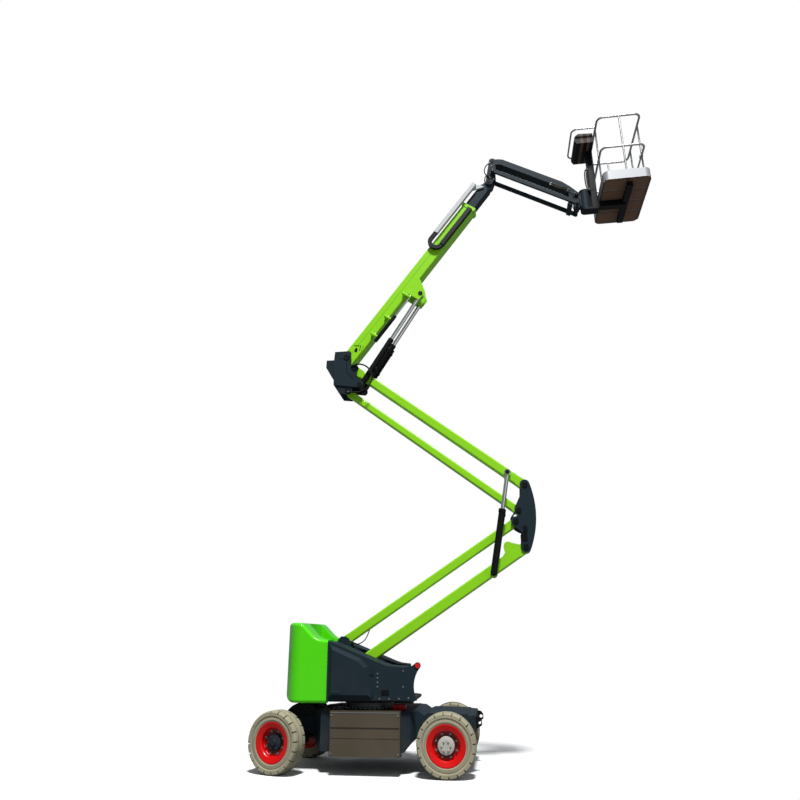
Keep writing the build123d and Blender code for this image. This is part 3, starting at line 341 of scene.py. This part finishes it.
lime = (0.235, 0.60, 0.008)
hood_green = (0.075, 0.66, 0.001)
slate = (0.012, 0.022, 0.030)
finishes = {
    "lime_paint": paint("lime paint", lime, 0.30, coat=0.3, dust=0.05),
    "hood": paint("hood green", hood_green, 0.25, coat=0.35, dust=0.03),
    "slate_paint": paint("slate paint", slate, 0.50, coat=0.04, dust=0.06, shine=0.08),
    # Slate for the upright, with painted shade in its pressed line.
    "slate with painted groove shade": paint("slate with painted groove shade", slate, 0.50, coat=0.04, dust=0.06, shine=0.08, line=pressed_groove_shade),
    # Lime for the boom, with painted shade along the bend in its side sheets.
    "lime with painted bend shade": paint("lime with painted bend shade", lime, 0.30, coat=0.2, dust=0.05, line=boom_bend_shade),
    "red_paint": paint("red paint", (0.52, 0.002, 0.003), 0.36, coat=0.25, dust=0.2),
    "taupe_paint": paint("taupe paint", (0.070, 0.055, 0.036), 0.34, coat=0.25, dust=0.05),
    "black_paint": paint("black paint", (0.003, 0.004, 0.005), 0.42, coat=0.05, dust=0.03, shine=0.12),
    "bare_steel": metal("bare steel", (0.16, 0.16, 0.16), 0.42),
    "silver_hub": paint("silver hub", (0.42, 0.42, 0.38), 0.38, coat=0.1, dust=0.35),
    "chrome_rod": metal("chrome rod", (0.72, 0.73, 0.73), 0.14),
    "silver_rail": tread_plate("silver rail", (0.37, 0.38, 0.40)),
    "black_plastic": plastic("black plastic", (0.008, 0.009, 0.010), 0.48),
    "red_lens": paint("red lens", (0.6, 0.004, 0.006), 0.15, coat=0.6, dust=0.0),
    "chain": chain_plastic(),
    "rubber hose": plastic("rubber hose", (0.006, 0.006, 0.007), 0.55),
    "rail tube": metal("rail tube", (0.42, 0.43, 0.44), 0.30),
    # Brown painted as the ground's reflection on the panels under the platform.
    "panel with painted ground reflection": plastic("panel with painted ground reflection", (0.13, 0.078, 0.050), 0.55),
    "guide grey": paint("guide grey", (0.50, 0.52, 0.53), 0.60, coat=0.0, dust=0.1, shine=0.05),
    "olive hose": plastic("olive hose", (0.022, 0.022, 0.012), 0.5),
    "console": console_face(),
    "zinc": metal("zinc", (0.34, 0.35, 0.36), 0.38),
}
own_look = {"counterweight": "hood", "cable_chain": "chain", "platform_rails": "rail tube",
            "platform_gate": "rail tube", "control_console": "console", "boom_upright": "slate with painted groove shade",
            "boom_base": "lime with painted bend shade", "chain_guide": "guide grey"}
for part in frame["record"]["subparts"]:
    name = part["node"]
    data = nodes[name].data
    data.materials.clear()
    if name.startswith("tyre_"):
        data.materials.append(tyre_rubber(name[len("tyre_"):]))
    elif name.startswith("rim_"):
        data.materials.append(rim_paint(name[len("rim_"):]))
    else:
        data.materials.append(finishes[own_look.get(name, part["material_slot"])])


# Shaping and fitting of pieces

def clear():
    for obj in bpy.context.selected_objects:
        obj.select_set(False)


def start(shape, **sizes):
    """A new primitive with its place in its mesh."""
    clear()
    getattr(bpy.ops.mesh, f"primitive_{shape}_add")(**sizes)
    bpy.ops.object.transform_apply(location=True, rotation=True, scale=True)
    return bpy.context.object


def choose(obj, test):
    """Opens obj for editing with those faces selected whose centre and normal pass the test."""
    bpy.context.tool_settings.mesh_select_mode = (False, False, True)
    bpy.ops.object.mode_set(mode="EDIT")
    bpy.ops.mesh.select_all(action="DESELECT")
    bpy.ops.object.mode_set(mode="OBJECT")
    for face in obj.data.polygons:
        face.select = test(face.center, face.normal)
    bpy.ops.object.mode_set(mode="EDIT")


def push(distance):
    """Extrudes the chosen faces along -Y."""
    bpy.ops.mesh.extrude_region_move(TRANSFORM_OT_translate={"value": (0, -distance, 0)})


def raise_faces(height):
    """Extrudes the chosen faces along Z."""
    bpy.ops.mesh.extrude_region_move(TRANSFORM_OT_translate={"value": (0, 0, height)})


def close(obj, bevel=0.0):
    """Leaves edit mode and rounds the sharp edges."""
    bpy.ops.object.mode_set(mode="OBJECT")
    if bevel:
        edge = obj.modifiers.new("edge", "BEVEL")
        edge.width = bevel
        edge.segments = 2
        edge.limit_method = "ANGLE"
        bpy.context.view_layer.objects.active = obj
        bpy.ops.object.modifier_apply(modifier=edge.name)
    return obj


def outer(centre, normal):
    return normal.y < -0.9


def upper(centre, normal):
    return normal.z > 0.9


def both_ends(centre, normal):
    return abs(normal.z) > 0.9


def stand_along(direction):
    """Turns a shape that stands along Z to a direction."""
    return direction.to_track_quat("Z", "Y").to_matrix().to_4x4()


def fit(obj, name, body, slot, look=None):
    """Names a finished piece, gives it its finish and lets it move with a body."""
    clear()
    obj.name = name
    obj.select_set(True)
    bpy.context.view_layer.objects.active = obj
    bpy.ops.object.shade_smooth_by_angle(angle=math.radians(35))
    obj.data.materials.clear()
    obj.data.materials.append(finishes[look or slot])
    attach(obj, body)
    return obj


def copies(model, places, name, body, slot, look=None):
    """Sets a copy of the model at each place and joins them to one piece."""
    clear()
    made = []
    for place in places:
        copy = bpy.data.objects.new(name, model.data.copy())
        copy.data.transform(place)
        bpy.context.scene.collection.objects.link(copy)
        copy.select_set(True)
        made.append(copy)
    bpy.context.view_layer.objects.active = made[0]
    if len(made) > 1:
        bpy.ops.object.join()
    return fit(made[0], name, body, slot, look)


def discard(*models):
    for model in models:
        bpy.data.objects.remove(model)


def pin_cap(radius, depth=0.012):
    """Round pin head with a sunk middle, foot on the XZ plane, looking along -Y."""
    cap = start("cylinder", vertices=28, radius=radius, depth=depth, rotation=(math.pi / 2, 0, 0),
                location=(0, -depth / 2, 0))
    choose(cap, outer)
    bpy.ops.mesh.inset(thickness=radius * 0.35)
    push(-depth * 0.4)
    bpy.ops.mesh.inset(thickness=radius * 0.3)
    push(depth * 0.3)
    return close(cap, 0.002)


def bolt(radius, height=None):
    """Hexagon head on a round washer, looking along -Y."""
    height = height or radius * 1.1
    head = start("cylinder", vertices=18, radius=radius * 1.6, depth=height * 0.3,
                 rotation=(math.pi / 2, 0, 0), location=(0, -height * 0.15, 0))
    choose(head, outer)
    bpy.ops.mesh.inset(thickness=radius * 0.6)
    push(height)
    bpy.ops.mesh.inset(thickness=radius * 0.25)
    push(height * 0.12)
    return close(head)


# Pin heads

def pin_heads():
    large = pin_cap(0.046, 0.010)
    middle = pin_cap(0.036, 0.009)
    small = pin_cap(0.028, 0.009)
    upright_face = half_width("boom_upright")
    stub = upright_face - 0.015
    knuckle_face = half_width("riser_knuckle")
    for name, body, model, spots in (
        ("knuckle_pin_heads", "knuckle", middle,
         [(p, knuckle_face) for p in (knuckle_low, knuckle_link, upper_link_pin, upper_arm_pin)]),
        ("boom_pin_heads", "upright", large, [(boom_pin, upright_face)]),
        ("upright_pin_heads", "upright", middle,
         [(lift_foot, upright_face), (upright_low, stub), (upright_high, stub)]),
        ("lift_eye_heads", "boom", middle, [(lift_eye, half_width("boom_base"))]),
        ("tower_foot_heads", "lower_arm", small, [(tower_foot, half_width("riser_lower_arm"))]),
        ("tower_eye_heads", "tower_rods", small, [(tower_eye, half_width("tower_cylinder_rods"))]),
        ("nose_pin_heads", "nose", small, [(nose_pin, 0.112), (jib_pin, 0.112),
                                           (jib_link_pin, half_width("jib_nose"))]),
        ("head_pin_heads", "head", small, [(head_pin, 0.085), (head_link_pin, half_width("jib_head"))]),
    ):
        places = [on_side(p, y, side) for p, y in spots for side in SIDES]
        copies(model, places, name, body, "black_paint")
    discard(large, middle, small)


# Wheels

def around(wheel, count, radius, face, first=0.0):
    """Places evenly round a wheel's axle on a face across it."""
    turns = [Matrix.Rotation(2 * math.pi * (i + first) / count, 4, "Y") for i in range(count)]
    return [wheel_place(wheel) @ turn @ Matrix.Translation((radius, face, 0)) for turn in turns]


def wheel_fittings():
    nut = bolt(0.0085, 0.020)
    hub_bolt = bolt(0.009, 0.010)
    nut_circle, web_face = 0.131, -0.028
    # Bolt circle, outer face and finish of each kind of hub
    hubs = {"drive": (0.052, -0.096, "silver_hub"), "steer": (0.070, -0.046, None)}
    for wheel in WHEELS:
        body = "wheel_" + wheel
        ring = around(wheel, 8, nut_circle, web_face, 0.5)
        copies(nut, ring, "wheel_nuts_" + wheel, body, "bare_steel", "zinc")
        circle, face, look = hubs[wheel.split("_")[0]]
        copies(hub_bolt, around(wheel, 6, circle, face), "hub_bolts_" + wheel, body, "bare_steel", look)
    discard(nut, hub_bolt)


# Covers and doors

def cover_fittings():
    screw = bolt(0.0065, 0.006)
    cover_face = 0.650
    spots = [(0.215, z) for z in (0.985, 1.035, 1.085, 1.135)]
    spots += [(0.535, 1.165), (0.535, 0.985), (0.600, 0.860)]
    spots += [(x, 0.850) for x in (0.24, 0.36, 0.48)]
    places = [on_side((x, 0, z), cover_face, NEAR) for x, z in spots]
    places += [on_side((x, 0, z), cover_face, FAR) for x, z in spots if x < 0.46]
    copies(screw, places, "cover_screws", "turntable", "bare_steel", "zinc")
    latch = start("cube", size=1, location=(0, -0.006, 0), scale=(0.120, 0.012, 0.052))
    choose(latch, outer)
    bpy.ops.mesh.inset(thickness=0.010)
    push(0.003)
    close(latch, 0.002)
    for side, door in ((NEAR, "door_near"), (FAR, "door_far")):
        face = abs(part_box("hood_" + door)[0 if side == NEAR else 1][1])
        copies(latch, [on_side((-0.30, 0, 0.92), face - 0.004, side)], door + "_latch", door, "slate_paint")
    # Black plate painted as the shade in the square cutout of the cover.
    cutout_shade = start("cube", size=1, location=(0, -0.001, 0), scale=(0.095, 0.004, 0.062))
    choose(cutout_shade, outer)
    bpy.ops.mesh.inset(thickness=0.006)
    push(-0.001)
    close(cutout_shade)
    copies(cutout_shade, [on_side((0.309, 0, 0.915), cover_face, NEAR)], "cover_cutout_shade", "turntable", "black_paint")
    discard(screw, latch, cutout_shade)
    bezel = start("torus", major_segments=32, minor_segments=8, major_radius=0.033, minor_radius=0.006,
                  rotation=(math.pi / 2, 0, 0))
    bezel_face = cover_face + 0.004
    places = [on_side((0.716, 0, 1.228), bezel_face, NEAR), on_side((0.410, 0, 1.130), bezel_face, FAR)]
    copies(bezel, places, "lamp_bezels", "turntable", "black_plastic")
    discard(bezel)


def slew_fittings():
    """Ring of screws round the slew bearing."""
    deck, count = 0.700, 36
    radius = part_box("slew_ring")[1][0] + 0.018
    screw = start("cylinder", vertices=10, radius=0.012, depth=0.016, location=(0, 0, 0.008))
    choose(screw, upper)
    bpy.ops.mesh.inset(thickness=0.004)
    bpy.ops.transform.translate(value=(0, 0, 0.003))
    close(screw)
    ring = [Matrix.Rotation(2 * math.pi * i / count, 4, "Z") @ Matrix.Translation((radius, 0, deck))
            for i in range(count)]
    copies(screw, ring, "slew_screws", "chassis", "bare_steel", "zinc")
    discard(screw)


# Chassis deck and battery boxes

def deck_fittings():
    block = start("cube", size=1, location=(0, 0, 0.029), scale=(0.16, 0.11, 0.058))
    choose(block, upper)
    bpy.ops.mesh.inset(thickness=0.012)
    raise_faces(-0.006)
    close(block, 0.004)
    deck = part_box("slew_ring")[0][2]
    copies(block, [Matrix.Translation((0.44, -0.30, deck))], "deck_block", "chassis", "red_paint")
    discard(block)
    (x0, y0, z0), (x1, y1, z1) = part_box("battery_boxes")
    screw = bolt(0.008, 0.007)
    spots = [(x, z) for x in (x0 + 0.025, x1 - 0.025) for z in (z0 + 0.035, z1 - 0.045)]
    places = [on_side((x, 0, z), y1, side) for x, z in spots for side in SIDES]
    copies(screw, places, "battery_screws", "chassis", "bare_steel", "zinc")
    strip = start("cube", size=1, location=(0, -0.0015, 0), scale=(x1 - x0 - 0.02, 0.003, 0.010))
    choose(strip, outer)
    bpy.ops.mesh.inset(thickness=0.002)
    push(0.001)
    close(strip)
    places = [on_side(((x0 + x1) / 2, 0, z1 - 0.016), y1, side) for side in SIDES]
    copies(strip, places, "battery_edge_strips", "chassis", "bare_steel", "zinc")
    discard(screw, strip)


# Boom

boom_across = Vector((-boom_dir.z, 0, boom_dir.x))


def on_boom(along, across, y=0.0):
    """Point given along and above the boom's middle line, from its pin."""
    return boom_pin + boom_dir * along + boom_across * across + Vector((0, y, 0))


def boom_marks():
    """Pressed chevron and slot on the boom's sides."""
    stroke = start("cube", size=1, location=(0, -0.0005, 0), scale=(0.09, 0.003, 0.011))
    choose(stroke, outer)
    bpy.ops.mesh.inset(thickness=0.002)
    push(0.0005)
    close(stroke)
    tilt = math.atan2(boom_dir.z, boom_dir.x)
    face = 0.109
    places = []
    for side in SIDES:
        for sign in (-1, 1):
            turn = -side * (tilt - sign * math.radians(48))
            places.append(on_side(on_boom(0.26, 0.034 * sign - 0.01), face, side, turn))
    copies(stroke, places, "boom_chevrons", "boom", "black_paint")
    slot = start("cylinder", vertices=24, radius=0.022, depth=0.004, rotation=(math.pi / 2, 0, 0))
    choose(slot, lambda centre, normal: centre.z > 0.001)
    bpy.ops.transform.translate(value=(0, 0, 0.03))
    choose(slot, outer)
    bpy.ops.mesh.inset(thickness=0.004)
    push(0.001)
    close(slot)
    places = [on_side(on_boom(0.18, -0.02), face, side, math.radians(12)) for side in SIDES]
    copies(slot, places, "boom_slots", "boom", "black_paint")
    discard(stroke, slot)


def lift_pipes():
    """A pipe with two clamps below each lift barrel."""
    along = (lift_eye - lift_foot).normalized()
    below = Vector((along.z, 0, -along.x))
    turn = stand_along(along)
    begin, ys = 0.28, (-0.115, 0.115)
    length = (Vector(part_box("lift_cylinder_barrels")[1]) - lift_foot).dot(along) - 0.40
    pipe = start("cylinder", vertices=20, radius=0.013, depth=length)
    choose(pipe, both_ends)
    bpy.ops.mesh.inset(thickness=0.004)
    close(pipe, 0.002)
    middle = lift_foot + along * (begin + length / 2) + below * 0.057
    places = [Matrix.Translation((middle.x, y, middle.z)) @ turn for y in ys]
    copies(pipe, places, "lift_pipes", "lift_barrels", "black_paint")
    clamp = start("cube", size=1, scale=(0.044, 0.034, 0.036))
    choose(clamp, lambda centre, normal: abs(normal.x) > 0.9)
    bpy.ops.mesh.inset(thickness=0.008)
    close(clamp, 0.003)
    spots = [lift_foot + along * d + below * 0.055 for d in (begin + 0.08, begin + length - 0.08)]
    places = [Matrix.Translation((s.x, y, s.z)) @ turn for s in spots for y in ys]
    copies(clamp, places, "lift_pipe_clamps", "lift_barrels", "black_paint")
    discard(pipe, clamp)


def levelling_cylinder():
    """Levelling cylinder slung beside the boom on three hangers."""
    turn = stand_along(boom_dir)
    drop, out = -0.215, -0.195
    for name, radius, a, b, slot in (("levelling_barrel", 0.030, 0.46, 0.98, "black_paint"),
                                     ("levelling_rod", 0.014, 0.97, 1.40, "chrome_rod")):
        bar = start("cylinder", vertices=28, radius=radius, depth=b - a)
        choose(bar, upper)
        bpy.ops.mesh.inset(thickness=radius * 0.2)
        bpy.ops.transform.translate(value=(0, 0, radius * 0.2))
        close(bar, 0.003)
        copies(bar, [Matrix.Translation(on_boom((a + b) / 2, drop, out)) @ turn], name, "boom", slot)
        discard(bar)
    for name, size, across, y in (("levelling_hangers", (0.034, 0.165, 0.036), -0.145, out),
                                  ("levelling_hanger_feet", (0.085, 0.040, 0.036), -0.080, -0.1415)):
        block = start("cube", size=1, scale=size)
        choose(block, both_ends)
        bpy.ops.mesh.inset(thickness=0.008)
        close(block, 0.003)
        places = [Matrix.Translation(on_boom(d, across, y)) @ turn for d in (0.54, 0.90, 1.38)]
        copies(block, places, name, "boom", "lime_paint")
        discard(block)


# Knuckle

def knuckle_fittings():
    """Black plates painted as the shade in pockets on the knuckle's sides."""
    pocket_shade = start("cube", size=1, location=(0, -0.001, 0), scale=(1, 0.003, 1))
    choose(pocket_shade, outer)
    bpy.ops.mesh.inset(thickness=0.08)
    push(0.0008)
    close(pocket_shade)
    face = half_width("riser_knuckle")
    places = [on_side((x, 0, z), face, side) @ Matrix.Diagonal((w, 1, h, 1)) for side in SIDES
              for x, z, w, h in ((2.168, 2.955, 0.055, 0.085), (2.146, 2.848, 0.085, 0.110))]
    copies(pocket_shade, places, "knuckle_pocket_shades", "knuckle", "black_paint")
    discard(pocket_shade)


# Platform

def platform_fittings():
    """Panels under the floor, two by four."""
    low, high = (Vector(c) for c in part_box("platform_floor"))
    size = high - low
    rim, seam = 0.028, 0.010
    step = Vector(((size.x - rim) / 2, (size.y - rim) / 4, 0))
    panel = start("cube", size=1, location=(0, 0, 0.004), scale=(step.x - seam, step.y - seam, 0.006))
    choose(panel, lambda centre, normal: normal.z < -0.9)
    bpy.ops.mesh.inset(thickness=0.018)
    bpy.ops.transform.translate(value=(0, 0, 0.004))
    close(panel, 0.002)
    middle = (low + high) / 2
    places = [Matrix.Translation((middle.x + step.x * i, middle.y + step.y * j, low.z + 0.008))
              for i in (-0.5, 0.5) for j in (-1.5, -0.5, 0.5, 1.5)]
    # The panels' brown is a painted reflection of the ground.
    copies(panel, places, "floor_panels", "platform", "taupe_paint", "panel with painted ground reflection")
    discard(panel)


def console_fittings():
    """Two sticks, a field of buttons and a stop button on the console."""
    low, high = (Vector(c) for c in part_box("control_console"))
    top = high.z - 0.010
    stick = start("cone", vertices=20, radius1=0.030, radius2=0.008, depth=0.040, location=(0, 0, 0.020))
    choose(stick, upper)
    raise_faces(0.045)
    bpy.ops.transform.resize(value=(2.0, 2.0, 1))
    raise_faces(0.030)
    bpy.ops.transform.resize(value=(0.6, 0.6, 1))
    close(stick, 0.002)
    places = [Matrix.Translation((low.x + 0.20, y, top)) for y in (low.y + 0.15, high.y - 0.15)]
    copies(stick, places, "control_sticks", "platform", "black_plastic")
    knob = start("cylinder", vertices=20, radius=0.013, depth=0.012, location=(0, 0, 0.006))
    choose(knob, upper)
    bpy.ops.mesh.inset(thickness=0.004)
    bpy.ops.transform.translate(value=(0, 0, -0.003))
    close(knob, 0.001)
    places = [Matrix.Translation((low.x + 0.16 + 0.05 * i, low.y + 0.26 + 0.045 * j, top + 0.002))
              for i in range(3) for j in range(3)]
    copies(knob, places, "control_buttons", "platform", "silver_hub")
    stop = Matrix.Translation((low.x + 0.20, high.y - 0.05, top)) @ Matrix.Scale(1.9, 4)
    copies(knob, [stop], "stop_button", "platform", "red_lens")
    discard(stick, knob)


# Hoses

def hose(name, body, points, diameter, look="rubber hose"):
    """A hose that leaves one fitting and returns to another on the same body."""
    data = bpy.data.curves.new(name, "CURVE")
    data.dimensions = "3D"
    data.bevel_depth = diameter / 2
    data.bevel_resolution = 3
    data.resolution_u = 10
    spline = data.splines.new("NURBS")
    spline.points.add(len(points) - 1)
    for spot, point in zip(spline.points, points):
        spot.co = (*point, 1)
    spline.order_u = 3
    spline.use_endpoint_u = True
    obj = bpy.data.objects.new(name, data)
    bpy.context.scene.collection.objects.link(obj)
    data.materials.append(finishes[look])
    ferrule = start("cylinder", vertices=16, radius=diameter * 0.68, depth=diameter * 1.6)
    choose(ferrule, both_ends)
    bpy.ops.mesh.inset(thickness=diameter * 0.12)
    close(ferrule, 0.001)
    ends = []
    for a, b in ((points[0], points[1]), (points[-1], points[-2])):
        way = (Vector(b) - Vector(a)).normalized()
        ends.append(Matrix.Translation(Vector(a) + way * diameter * 0.5) @ stand_along(way))
    fittings = copies(ferrule, ends, name + "_ends", body, "bare_steel")
    discard(ferrule)
    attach(obj, body)
    bpy.context.view_layer.update()
    length = hose_length(data)
    print("hose", name, round(length, 3), "m")


def hose_length(data):
    """Length along a curve's own line."""
    line = data.copy()
    line.bevel_depth = 0
    probe = bpy.data.objects.new("probe", line)
    bpy.context.scene.collection.objects.link(probe)
    mesh = probe.evaluated_get(bpy.context.evaluated_depsgraph_get()).to_mesh()
    spots = mesh.vertices
    length = sum((spots[e.vertices[0]].co - spots[e.vertices[1]].co).length for e in mesh.edges)
    bpy.data.objects.remove(probe)
    bpy.data.curves.remove(line)
    return length


def run(base, *steps):
    """Points given as offsets from a base point."""
    return [tuple(Vector(base) + Vector(step)) for step in steps]


def hoses():
    hose("upright_hose_loop", "upright", run(
        boom_pin, (0.03, -0.160, -0.17), (0.10, -0.188, -0.14), (0.24, -0.205, -0.13), (0.37, -0.205, -0.22),
        (0.42, -0.205, -0.37), (0.35, -0.205, -0.53), (0.22, -0.205, -0.60), (0.09, -0.190, -0.59),
        (0.02, -0.170, -0.57)), 0.024)
    for i, y in enumerate((-0.083, 0.083)):
        hose(f"knuckle_hose_{i}", "knuckle", run(
            knuckle_low, (-0.02, y, 0.20), (-0.09, y, 0.22), (-0.15 - 0.02 * i, y, 0.29),
            (-0.17 - 0.02 * i, y, 0.36), (-0.15 - 0.02 * i, y, 0.44), (-0.09, y, 0.51),
            (-0.02, y, 0.53)), 0.020)
    for i, y in enumerate((-0.124, 0.124)):
        out = math.copysign(0.010, y)
        hose(f"nose_hose_{i}", "nose", run(
            nose_pin, (0.02, y - out, 0.06), (-0.03, y, 0.09), (-0.075, y, 0.16), (-0.07, y, 0.26),
            (-0.02, y, 0.34), (0.03, y - out, 0.37)), 0.018)
    hose("nose_hose_2", "nose", run(
        nose_pin, (0.05, -0.178, 0.26), (0.02, -0.196, 0.20), (-0.015, -0.200, 0.11), (-0.015, -0.200, 0.02),
        (0.03, -0.196, -0.03), (0.08, -0.178, -0.03)), 0.017, "olive hose")
    for i, side in enumerate(SIDES):
        hose(f"head_hose_{i}", "head", run(
            head_pin, (-0.015, side * 0.098, 0.01), (-0.046, side * 0.110, -0.06),
            (-0.048, side * 0.116, -0.12), (-0.022, side * 0.120, -0.165), (0.040, side * 0.120, -0.165),
            (0.065, side * 0.116, -0.12), (0.06, side * 0.110, -0.06),
            (0.025, side * 0.098, 0.01)), 0.010, "olive hose")
    for i, x in enumerate((3.572, 3.544)):
        hose(f"mast_hose_{i}", "platform", [
            (x + 0.024, -0.050, 8.46), (x, -0.060, 8.50), (x - 0.012, -0.070, 8.60),
            (x - 0.012, -0.070, 8.72), (x, -0.060, 8.82), (x + 0.024, -0.050, 8.87)], 0.022, "olive hose")
    arm = (head_pin - jib_pin).normalized()
    rise = Vector((-arm.z, 0, arm.x))
    for i, lift in enumerate((0.010, -0.020)):
        steps = ((-0.46, -0.088, lift), (-0.40, -0.104, lift - 0.004), (-0.30, -0.106, lift - 0.020),
                 (-0.23, -0.106, lift + 0.004), (-0.18, -0.104, lift), (-0.13, -0.088, lift))
        points = [tuple(head_pin + arm * a + rise * c + Vector((0, b, 0))) for a, b, c in steps]
        hose(f"jib_hose_{i}", "jib", points, 0.022, "olive hose")
    hose("link_hose", "lower_link", run(
        link_foot, (0.10, -0.056, 0.02), (0.15, -0.070, -0.02), (0.22, -0.072, -0.03), (0.30, -0.070, 0.02),
        (0.34, -0.066, 0.09), (0.36, -0.054, 0.16)), 0.014)
    for i in range(2):
        d = 0.030 * i
        hose(f"deck_hose_{i}", "chassis", [
            (-0.30 - d, -0.17, 0.735), (-0.36 - d, -0.21, 0.735), (-0.44 - d, -0.29, 0.732),
            (-0.46 - d, -0.38, 0.729), (-0.40 - d, -0.46, 0.726),
            (-0.33 - d, -0.50, 0.724)], 0.018, "olive hose")


# Studio and camera

def studio():
    world = bpy.data.worlds.new("studio")
    bpy.context.scene.world = world
    world.use_nodes = True
    tree = world.node_tree
    back = tree.nodes["Background"]
    back.inputs["Color"].default_value = (0.90, 0.95, 1.0, 1)
    back.inputs["Strength"].default_value = 0.24
    white = tree.nodes.new("ShaderNodeBackground")
    white.inputs["Color"].default_value = (1, 1, 1, 1)
    path = tree.nodes.new("ShaderNodeLightPath")
    mix = tree.nodes.new("ShaderNodeMixShader")
    tree.links.new(path.outputs["Is Camera Ray"], mix.inputs[0])
    tree.links.new(back.outputs[0], mix.inputs[1])
    tree.links.new(white.outputs[0], mix.inputs[2])
    tree.links.new(mix.outputs[0], tree.nodes["World Output"].inputs["Surface"])

    clear()
    bpy.ops.mesh.primitive_plane_add(size=120, location=(0, 0, 0))
    floor = bpy.context.object
    floor.name = "floor"
    look = Look("floor", Roughness=0.9, Specular_IOR_Level=0.1)
    x, y, z = look.axes()
    away = look.maths("SQRT", x * x + y * y)
    glow = look.node("ShaderNodeEmission", inputs={"Color": (1, 1, 1, 1), "Strength": 1.0})
    seen = look.value(look.node("ShaderNodeLightPath"), "Is Camera Ray")
    look.set(Base_Color=look.mix(seen, (0.22, 0.22, 0.22, 1), (0.90, 0.90, 0.90, 1)))
    blend = look.node("ShaderNodeMixShader", inputs={0: look.ramp(away, 1.5, 4.5) * seen})
    look.tree.links.new(look.shader.outputs[0], blend.inputs[1])
    look.tree.links.new(glow.outputs[0], blend.inputs[2])
    look.tree.links.new(blend.outputs[0], look.tree.nodes["Material Output"].inputs["Surface"])
    floor.data.materials.append(look.material)

    for name, place, aim, size, power in (
        ("key", (5.8, -23.0, 45.8), (1.0, 0.0, 4.0), 6.0, 36000.0),
        ("fill", (10.0, -9.0, 6.0), (1.0, 0.0, 4.0), 9.0, 160.0),
    ):
        lamp = bpy.data.lights.new(name, "AREA")
        lamp.size = size
        lamp.energy = power
        obj = bpy.data.objects.new(name, lamp)
        bpy.context.scene.collection.objects.link(obj)
        obj.location = place
        obj.rotation_euler = (Vector(aim) - Vector(place)).to_track_quat("-Z", "Y").to_euler()


def camera():
    """Stands where a pin-hole fit puts the photograph's camera."""
    eye = (1.739977, -9.296802, 1.555626)
    yaw, pitch, roll = 0.141264, 0.349307, -0.004125
    focal_px, picture_px, sensor_mm = 651.917, 800.0, 36.0
    ahead = Vector((-math.sin(yaw) * math.cos(pitch), math.cos(yaw) * math.cos(pitch), math.sin(pitch)))
    right = Vector((math.cos(yaw), math.sin(yaw), 0))
    up = right.cross(ahead)
    turned_right = right * math.cos(roll) + up * math.sin(roll)
    turned_up = up * math.cos(roll) - right * math.sin(roll)
    data = bpy.data.cameras.new("camera")
    data.sensor_width = sensor_mm
    data.lens = focal_px * sensor_mm / picture_px
    data.clip_end = 300.0
    obj = bpy.data.objects.new("camera", data)
    bpy.context.scene.collection.objects.link(obj)
    axes = Matrix((turned_right, turned_up, -ahead)).transposed()
    obj.matrix_world = Matrix.Translation(eye) @ axes.to_4x4()
    bpy.context.scene.camera = obj


pin_heads()
wheel_fittings()
cover_fittings()
slew_fittings()
deck_fittings()
boom_marks()
lift_pipes()
levelling_cylinder()
knuckle_fittings()
platform_fittings()
console_fittings()
hoses()
studio()
camera()
bpy.context.scene.view_settings.view_transform = "Standard"
